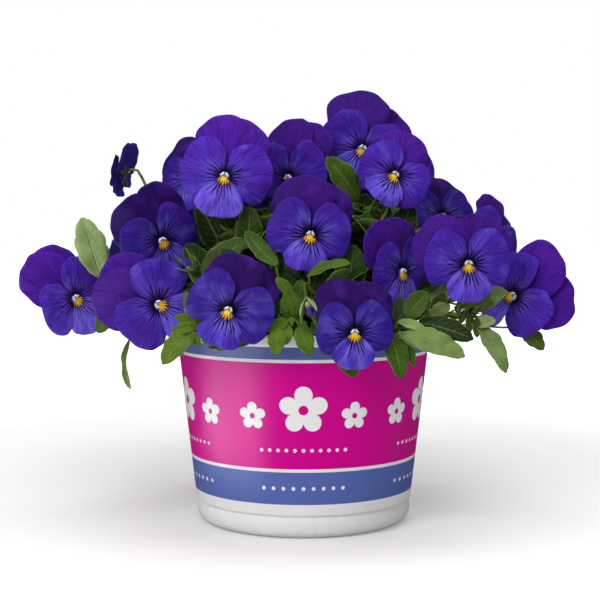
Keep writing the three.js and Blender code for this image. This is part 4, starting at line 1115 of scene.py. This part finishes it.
# a leaf: the surface over an outline of blunt round teeth, each a power of half a sine, on a grid of
# shares of its length and width, and its stalk, a slim tube from the shoot into the midrib
def leafParts(leaf):
    shape = leafGrids["coarse" if leaf.get("coarse") else "fine"]
    along = np.linspace(0, 1, shape["rows"])[:, None] ** 0.95
    across = np.linspace(-1, 1, shape["columns"])[None, :]
    saw = (along * shape["teeth"] + 0.15) % 1.0
    middle = ease(0.05, 0.25, along) * ease(1.0, 0.9, along)
    tooth = 1 + leafSizes["tooth"] * (np.sin(np.pi * saw**1.6) ** 0.7 - 0.5) * middle
    share = along + 0.03 * saw * np.abs(across) ** 2 * middle
    half = leafOutline(np.clip(along, 0.012, 0.992)) * leaf["width"] * tooth
    blade = sheetPart(leafSurface(leaf, share, across * half), leafSizes["thickness"],
                      gridVectors(along, across, leaf["fresh"]), (leaf["shade"], 0, 0))
    start, base, rings = leaf["start"], leaf["base"], shape["rings"]
    dip = (start + base) / 2 - up * 0.08 * np.linalg.norm(base - start)
    inside = base + (leaf["tip"] - base) * 0.06
    path = evenPoints([start, dip, base, inside], np.linspace(0, 1, rings))
    radii = np.linspace(leafSizes["stalkFoot"], leafSizes["stalkTop"], rings)
    stalk = tubePart(path, radii, rings - 1, (leaf["shade"], 0.8, 1))
    return [blade, stalk]


# a leaf lifted and then swung about the start of its stalk
def swung(leaf, swing, lift):
    def move(point):
        arm = point - leaf["start"]
        return spin(spin(arm, np.cross(arm, up), lift), up, swing) + leaf["start"]
    return dict(leaf, base=move(leaf["base"]), tip=move(leaf["tip"]))


# how close the solid's corners have to come, in millimetres
nearEnough = 1.0


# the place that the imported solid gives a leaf: the swing and lift whose tip and teeth its corners meet
def foundPlace(leaf, corners):
    shares = np.array([1.0, 0.42, 0.42])
    asides = np.array([0.0, 1.1, -1.1]) * leaf["width"] * leafHalfWidth(shares)
    for lift in lifts:
        for swing in swings:
            tried = swung(leaf, swing, lift)
            checks = leafSurface(dict(tried, wave=0.0), shares, asides)
            gaps = np.linalg.norm(corners[None] - checks[:, None], axis=2).min(1)
            if gaps.max() < nearEnough:
                return tried
    return None


# a shoot stands upright through the potting mix and then takes its way
def shootPath(row):
    heights = [shootSizes[key] for key in ("rootHeight", "soilTop", "collarHeight")]
    return np.array([*((*row["root"], height) for height in heights), *row["way"]], float)


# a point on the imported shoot, which runs straight from each of its rings to the next
def pointAlong(path, share):
    steps = shootSizes["steps"]
    before = min(int(np.floor(share * steps)), steps - 1)
    ring = evenPoints(path, [before / steps, (before + 1) / steps])
    return ring[0] + (ring[1] - ring[0]) * (share * steps - before)


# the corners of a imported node, in millimetres
def nodeCorners(name):
    mesh = frame["nodes"][name].data
    flat = np.empty(len(mesh.vertices) * 3, np.float32)
    mesh.vertices.foreach_get("co", flat)
    return flat.reshape(-1, 3).astype(float) * 1000


# a leaf that heads one way round from its start and rises; lean tips its face to one side
def grownLeaf(start, turn, rise, length, stalk, width, arch, lean):
    heading = unit([np.cos(turn), np.sin(turn), np.tan(np.radians(rise))])
    base = start + heading * stalk
    face = np.array([-lean * np.sin(turn), lean * np.cos(turn), 1])
    tip = base + heading * length
    return dict(start=start, base=base, tip=tip, width=width * length, arch=arch, face=face)


# a ruled leaf leaves the upper half of its shoot on one side, rises and arches over
def ruledLeaf(path, index, count, seed):
    pick = lambda key, step: ruled[key][0] + ruled[key][1] * draw(seed + step)
    start = pointAlong(path, 0.5 + 0.5 * (index + 0.5) / count)
    ahead = pointAlong(path, 1.0) - pointAlong(path, 0.5)
    turn = np.arctan2(ahead[1], ahead[0]) + (1 if index % 2 else -1) * np.radians(pick("aside", 0))
    return grownLeaf(start, turn, pick("rise", 1), pick("length", 2), pick("stalk", 3), ruled["width"],
                     pick("arch", 4), pick("lean", 5))


# a leaf with its wave and colours; low leaves at the front are a fresher green
def dressed(leaf, seed, shade=None, fresh=None):
    low = ease(-58, -92, leaf["tip"][1]) * ease(140, 120, leaf["tip"][2])
    shade = 0.4 + 0.35 * draw(seed + 42) if shade is None else shade
    fresh = 0.12 + 0.1 * draw(seed + 43) + 0.6 * low if fresh is None else fresh
    return dict(leaf, phase=np.pi * draw(seed + 41), shade=shade, fresh=fresh)


# a leaf from one of the tables above
def rowLeaf(start, seed, base, tip, width, arch, face, shade, fresh):
    face = face if isinstance(face, tuple) else (0, -1, face)
    base, tip, face = [np.array(place, float) for place in (base, tip, face)]
    leaf = dict(start=start, base=base, tip=tip, width=width, arch=arch, face=face)
    return dressed(leaf, seed, shade, fresh)


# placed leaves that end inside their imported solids: the shares of the width and length that stay
trimmed = {8: (0.92, 1.0), 14: (0.85, 0.8), 15: (0.88, 0.86), 10: (0.9, 1.0)}
leaves = {name: [] for name in shoots}
paths = {name: shootPath(row) for name, row in shoots.items()}
corners = {name: nodeCorners(f"shoot_{i + 1}") for i, name in enumerate(shoots)}
sought = [(name, rowLeaf(pointAlong(paths[name], share), 60 * i, *rest), trimmed.get(i, (1, 1)))
          for i, (name, share, *rest) in enumerate(placedLeaves)]
for i, (name, row) in enumerate(shoots.items()):
    for k in range(row["leaves"]):
        seed = 500 * (i + 1) + 10 * k
        sought.append((name, dressed(ruledLeaf(paths[name], k, row["leaves"], seed), seed), (1, 1)))
for name, leaf, (narrow, short) in sought:
    found = foundPlace(leaf, corners[name])
    if found:
        tip = found["base"] + (found["tip"] - found["base"]) * short
        leaves[name].append(dict(found, tip=tip, width=found["width"] * narrow))
print("leaves found in the solids:", sum(map(len, leaves.values())), "of", len(sought))

sidePaths = {stem: evenPoints([pointAlong(paths[owner], share), *points], np.linspace(0, 1, 12))
             for stem, (owner, share, points) in sideStems.items()}
for i, (stem, share, *rest) in enumerate(addedLeaves):
    onSide = stem in sideStems
    start = sidePaths[stem][int(round(share * 11))] if onSide else pointAlong(paths[stem], share)
    leaf = rowLeaf(start, 9000 + 60 * i, *rest)
    leaves[sideStems[stem][0] if onSide else stem].append(dict(leaf, wave=0.03 * leaf["width"]))

# The filling: its leaves stay under an ellipsoid dome, over the pot and clear of the blooms. A pair is
# a middle value and how far a leaf may differ from it.
filling = dict(tries=2600, keep=230, length=(27, 8), stalk=(9, 4), rise=(28, 42), width=0.46,
               arch=(0.12, 0.08), lean=0.7, domeX=138.0, domeY=108.0, domeFoot=140.0, domeRise=74.0,
               potReach=88, overPot=114, besidePot=100)
innerStemRules = dict(stems=44, x=96.0, y=66.0, goldenAngle=137.5, steps=15, firstLeaf=3)
# the room that leaves keep from a bloom of size 1: the radius of its face between a depth behind and one
# in front of its eye, and a narrower way ahead of it
bloomRoom = dict(face=35, back=-7, front=5, view=27, ahead=60)


# whether leaf points stay clear of every bloom, its face and the room in front of that
def clearOfBlooms(points):
    room = bloomRoom
    for bloom in blooms:
        local = (points - bloom["eye"]) @ bloom["matrix"] / bloom["size"]
        across = np.hypot(local[:, 0], local[:, 1])
        depth = local[:, 2]
        near = (across < room["face"]) & (depth > room["back"] - 0.1 * across) & (depth < room["front"])
        ahead = (across < room["view"]) & (depth >= room["front"]) & (depth < room["ahead"])
        if (near | ahead).any():
            return False
    return True


# the height that leaves may reach over a place: an ellipsoid's upper half on a low wall
def domeHeight(x, y):
    reach = (x / filling["domeX"]) ** 2 + (y / filling["domeY"]) ** 2
    return filling["domeFoot"] + filling["domeRise"] * np.sqrt(np.clip(1 - reach, 0, 1))


# whether a leaf's blade lies under the dome, above the pot and clear of the blooms
def fits(leaf):
    shares = np.tile([0.0, 0.25, 0.5, 0.75, 1.0], 3)
    asides = np.repeat([-0.4, 0.0, 0.4], 5) * leaf["width"]
    points = leafSurface(leaf, shares, asides)
    x, y, z = points.T
    lowest = np.where(np.hypot(x, y) < filling["potReach"], filling["overPot"], filling["besidePot"])
    beyond = np.hypot(x / filling["domeX"], y / filling["domeY"]) > 1
    return not (beyond | (z > domeHeight(x, y)) | (z < lowest)).any() and clearOfBlooms(points)


# a leaf of the filling: painted shade makes it darker the deeper its middle lies under the dome
def fillLeaf(start, turn, rise, length, stalk, arch, seed):
    leaf = grownLeaf(start, turn, np.clip(rise, -25, 68), length, stalk, filling["width"], arch,
                     filling["lean"] * draw(seed + 8))
    dome = (filling["domeX"], filling["domeY"], filling["domeFoot"] + filling["domeRise"])
    reach = np.linalg.norm((leaf["base"] + leaf["tip"]) / 2 / dome)
    shade = 0.12 + 0.5 * ease(0.75, 1.15, reach) + 0.14 * draw(seed + 42)
    return dict(dressed(leaf, seed, shade), coarse=True)


# extra leaves for a dense bush, drawn along the shoots, half of them on the three of the middle
def fillLeaves():
    kept = []
    for n in range(filling["tries"]):
        if len(kept) >= filling["keep"]:
            break
        seed = 40000 + 60 * n
        pick = lambda key, step: filling[key][0] + filling[key][1] * draw(seed + step)
        name = list(shoots)[n % len(shoots) if n % 2 else 11 + n // 2 % 3]
        start = pointAlong(paths[name], 0.62 + 0.36 * draw(seed))
        start = start + up * abs(draw(seed + 5)) * (30 if name.startswith("middle") else 14)
        leaf = fillLeaf(start, np.pi * draw(seed + 1), pick("rise", 2), pick("length", 3), pick("stalk", 4),
                        pick("arch", 6), seed)
        if fits(leaf):
            kept.append((name, leaf))
    return kept


# Inner stems rise from the shoots to their own heights under the dome, each a curve through three
# points, with leaves at steps of the golden angle. A stem ends at the last leaf that has room.
def innerStems():
    rules, out = innerStemRules, []
    for n in range(rules["stems"]):
        seed = 90000 + 100 * n
        reach, turn = np.sqrt(abs(draw(seed))), np.pi * draw(seed + 1)
        x, y = rules["x"] * reach * np.cos(turn), rules["y"] * reach * np.sin(turn)
        top = np.array([x, y, domeHeight(x, y) - 8 - 14 * abs(draw(seed + 2))])
        name = min(shoots, key=lambda key: np.linalg.norm(pointAlong(paths[key], 0.8) - top))
        start = pointAlong(paths[name], 0.72 + 0.2 * draw(seed + 3))
        bow = (start + top) / 2 + [3 * draw(seed + 4), 3 * draw(seed + 5), 6]
        path = evenPoints([start, bow, top], np.linspace(0, 1, rules["steps"]))
        grown, last = [], 0
        for k in range(rules["firstLeaf"], rules["steps"]):
            if not clearOfBlooms(path[k:k + 1]):
                break
            for twin in range(2):
                own = seed + 3 * k + 40 * twin
                way = turn + np.radians(rules["goldenAngle"] * k + 180 * twin)
                leaf = fillLeaf(path[k], way, 16 + 34 * draw(own), 30 + 6 * draw(own + 1),
                                6 + 3 * draw(own + 2), 0.12 + 0.06 * draw(own + 3), own)
                if fits(leaf):
                    grown.append(leaf)
                    last = k
        if len(grown) > 1:
            out.append((name, path[:last + 1], grown))
    return out


innerPaths = {name: [] for name in shoots}
for stem, path in sidePaths.items():
    innerPaths[sideStems[stem][0]].append(path)
for name, leaf in fillLeaves():
    leaves[name].append(leaf)
for name, path, grown in innerStems():
    innerPaths[name].append(path)
    leaves[name] += grown
print("leaves with the extra ones:", sum(map(len, leaves.values())),
      "inner stems:", sum(map(len, innerPaths.values())))

# The calyx: how far out and how deep its sepals reach, half their width, and how they sag and bow, open
# under a bloom and closed round a bud
calyxShapes = dict(open=dict(reach=11.5, depth=-6.0, half=2.0, sag=-0.5, bow=0.2, shade=0.6),
                   closed=dict(reach=10.0, depth=11.0, half=1.9, sag=0.0, bow=1.2, shade=1.0))
sepals = dict(count=5, startReach=1.0, startDepth=-7.6, thickness=0.4, rows=9, columns=5)
knob = dict(radii=[0, 1.5, 2.0, 1.5, 0], depths=[-9.0, -8.6, -7.6, -6.4, -6.0], sides=10, tone=(0.6, 0.7, 1))
stemTone = (0.6, 1.0, 1)


# five narrow pointed sepals that lie back from the flower's foot, each a small smooth-edged leaf, round
# the knob that the stalk ends in
def calyxParts(matrix, place, size, seed, kind):
    shape = calyxShapes[kind]
    t = np.linspace(0, 1, sepals["rows"])[:, None]
    v = np.linspace(-1, 1, sepals["columns"])[None, :]
    half = shape["half"] * np.sin(np.pi * np.clip(t, 0.03, 0.97) ** 0.8) ** 0.8
    bow = 1.4 * np.sin(np.pi * t)
    lift = shape["sag"] * bow + 0.18 * half * v**2
    out = [turnedPart(knob["radii"], knob["depths"], knob["sides"], knob["tone"])]
    for k in range(sepals["count"]):
        turn = np.radians(90 + 72 * k + 5 * draw(seed + k))
        outward = np.array([np.cos(turn), np.sin(turn), 0])
        base = outward * sepals["startReach"] + up * sepals["startDepth"]
        tip = outward * shape["reach"] + up * shape["depth"]
        grid = (base + (tip - base) * t[..., None] + np.cross(up, outward) * (half * v)[..., None]
                + up * lift[..., None] + outward * (shape["bow"] * bow)[..., None])
        out.append(sheetPart(grid, sepals["thickness"], gridVectors(t, v, 0), (shape["shade"], 0, 0)))
    return [moved(piece, matrix, place, size) for piece in out]


# the flower stalk: up from the shoot, over a hook behind the flower and into its calyx
def stalkPart(start, matrix, place, size):
    behind = lambda depth: np.array(place, float) - matrix @ (up * depth) * size
    hook = behind(stalkSizes["hookBack"]) + up * stalkSizes["hookRise"]
    ends = [start, (start + hook) / 2, hook, behind(stalkSizes["endBack"])]
    radii = np.linspace(stalkSizes["foot"], stalkSizes["top"], 22)
    return tubePart(evenPoints(ends, np.linspace(0, 1, 22)), radii, 8, stemTone)


stipules = dict(width=2.8, thickness=0.4, arch=0.12)


# a pair of small narrow stipules on each side where a leaf's stalk leaves its shoot
def stipuleParts(leaf, seed):
    start, width = leaf["start"], stipules["width"]
    ahead = unit(leaf["base"] - start)
    t = np.linspace(0, 1, 8)[:, None]
    v = np.linspace(-1, 1, 3)[None, :]
    half = leafHalfWidth(np.clip(t, 0.02, 0.99)) * width
    out = []
    for side in (-1, 1):
        for k in range(2):
            way = spin(ahead, up, side * (38 + 26 * k + 8 * draw(seed + k)))
            way = unit(way + up * (0.25 + 0.3 * draw(seed + 5 + k)))
            length = 10 - 3 * k + 1.5 * draw(seed + 9 + k)
            tiny = dict(base=start + way * 0.8, tip=start + way * length, width=width, face=up,
                        arch=stipules["arch"], phase=0.0, wave=0.0)
            out.append(sheetPart(leafSurface(tiny, t, v * half), stipules["thickness"],
                                 gridVectors(t, v, leaf["fresh"]), (leaf["shade"], 0, 0)))
    return out


budLook = dict(tip=petalLook["lateral"], tipStreak=petalLook["upperDeep"], foot=tint(176, 190, 140),
               footStreak=tint(128, 150, 90))


# a furled bud is pale green at its foot and violet at its tip, with darker streaks along its turns
def budMaterial(look):
    material, tree = startMaterial("budSkin", {"Roughness": 0.6, "Specular IOR Level": 0.15})
    way, turn, _ = readVector(tree, "spot")
    streaks = noiseOf(vectorOf(turn * 9.0, way, 0.0), 3.0, 3.0)
    foot, tip = [mixed(ramp(streaks, 0.35, 0.65), look[key], look[key + "Streak"]) for key in ("foot", "tip")]
    colour = mixed(ramp(way, 0.3, 0.6), foot, tip)
    return finishMaterial(material, {"Base Color": colour, "Normal": bumpOf(streaks, 0.0004)})


furledShape = dict(radius=3.6, foot=-6.9, length=19.0, turns=3, wind=0.35, ridge=0.12, rows=12, sides=16)


# the petals of a bud, rolled up: a turned spindle with ridges that wind round it, each a sine of the angle
# and the height
def furledPart(shape):
    t = np.linspace(0, 1, shape["rows"])
    radii = shape["radius"] * np.sin(np.pi * t**0.75) ** 0.7
    radii[[0, -1]] = 0
    piece = turnedPart(radii, shape["foot"] + shape["length"] * t, shape["sides"], (1, 0, 1))
    x, y, z = piece["points"].T
    spiral = 1 + shape["ridge"] * np.sin(shape["turns"] * np.arctan2(y, x) + shape["wind"] * z)
    spot = gridVectors((z - shape["foot"]) / shape["length"], spiral, 0)
    return dict(piece, points=gridVectors(x * spiral, y * spiral, z), spot=spot)


leafSkin = leafMaterial(leafLook)
furled = furledPart(furledShape)
budParts = []
for i, name in enumerate(shoots):
    path = paths[name]
    radii = np.linspace(shootSizes["foot"], shootSizes["top"], 26)
    parts = [tubePart(evenPoints(path, np.linspace(0, 1, 26)), radii, 10, stemTone)]
    for k, (eye, _, _, size, _, owner, share, _) in enumerate(bloomRows):
        if owner == name:
            matrix = blooms[k]["matrix"]
            parts += calyxParts(matrix, eye, size, 70 * k, "open")
            parts.append(stalkPart(pointAlong(path, share), matrix, eye, size))
    for k, (place, look, size, owner, share, fan) in enumerate(budRows):
        if owner == name:
            matrix = lookMatrix(*look)
            parts += calyxParts(matrix, place, size * fan, 5000 + 70 * k, "closed")
            parts.append(stalkPart(pointAlong(path, share), matrix, place, size))
            budParts.append(moved(furled, matrix, place, size))
    for rings in innerPaths[name]:
        radii = np.linspace(stalkSizes["innerFoot"], stalkSizes["innerTop"], len(rings))
        parts.append(tubePart(rings, radii, 7, stemTone))
    for k, leaf in enumerate(leaves[name]):
        parts += leafParts(leaf) + ([] if leaf.get("coarse") else stipuleParts(leaf, 300 * i + 7 * k))
    piece = makeObject(f"shoot{i + 1}", parts, [leafSkin])
    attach(piece, "root")
    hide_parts(f"shoot_{i + 1}")
print("shoots made:", len(shoots))

furledBuds = makeObject("furledBuds", budParts, [budMaterial(budLook)])
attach(furledBuds, "root")
print("buds made:", len(budRows))

faceCount = sum(len(o.data.loops) - 2 * len(o.data.polygons) for o in bpy.context.scene.objects
                if o.type == "MESH" and not o.name.endswith("floor"))
print("triangles in all:", faceCount)
sizeRows = dict(cad=[list(map(float, corner)) for corner in cadBounds],
                visual=[list(map(float, corner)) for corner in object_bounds()])
print("sizes", sizeRows)
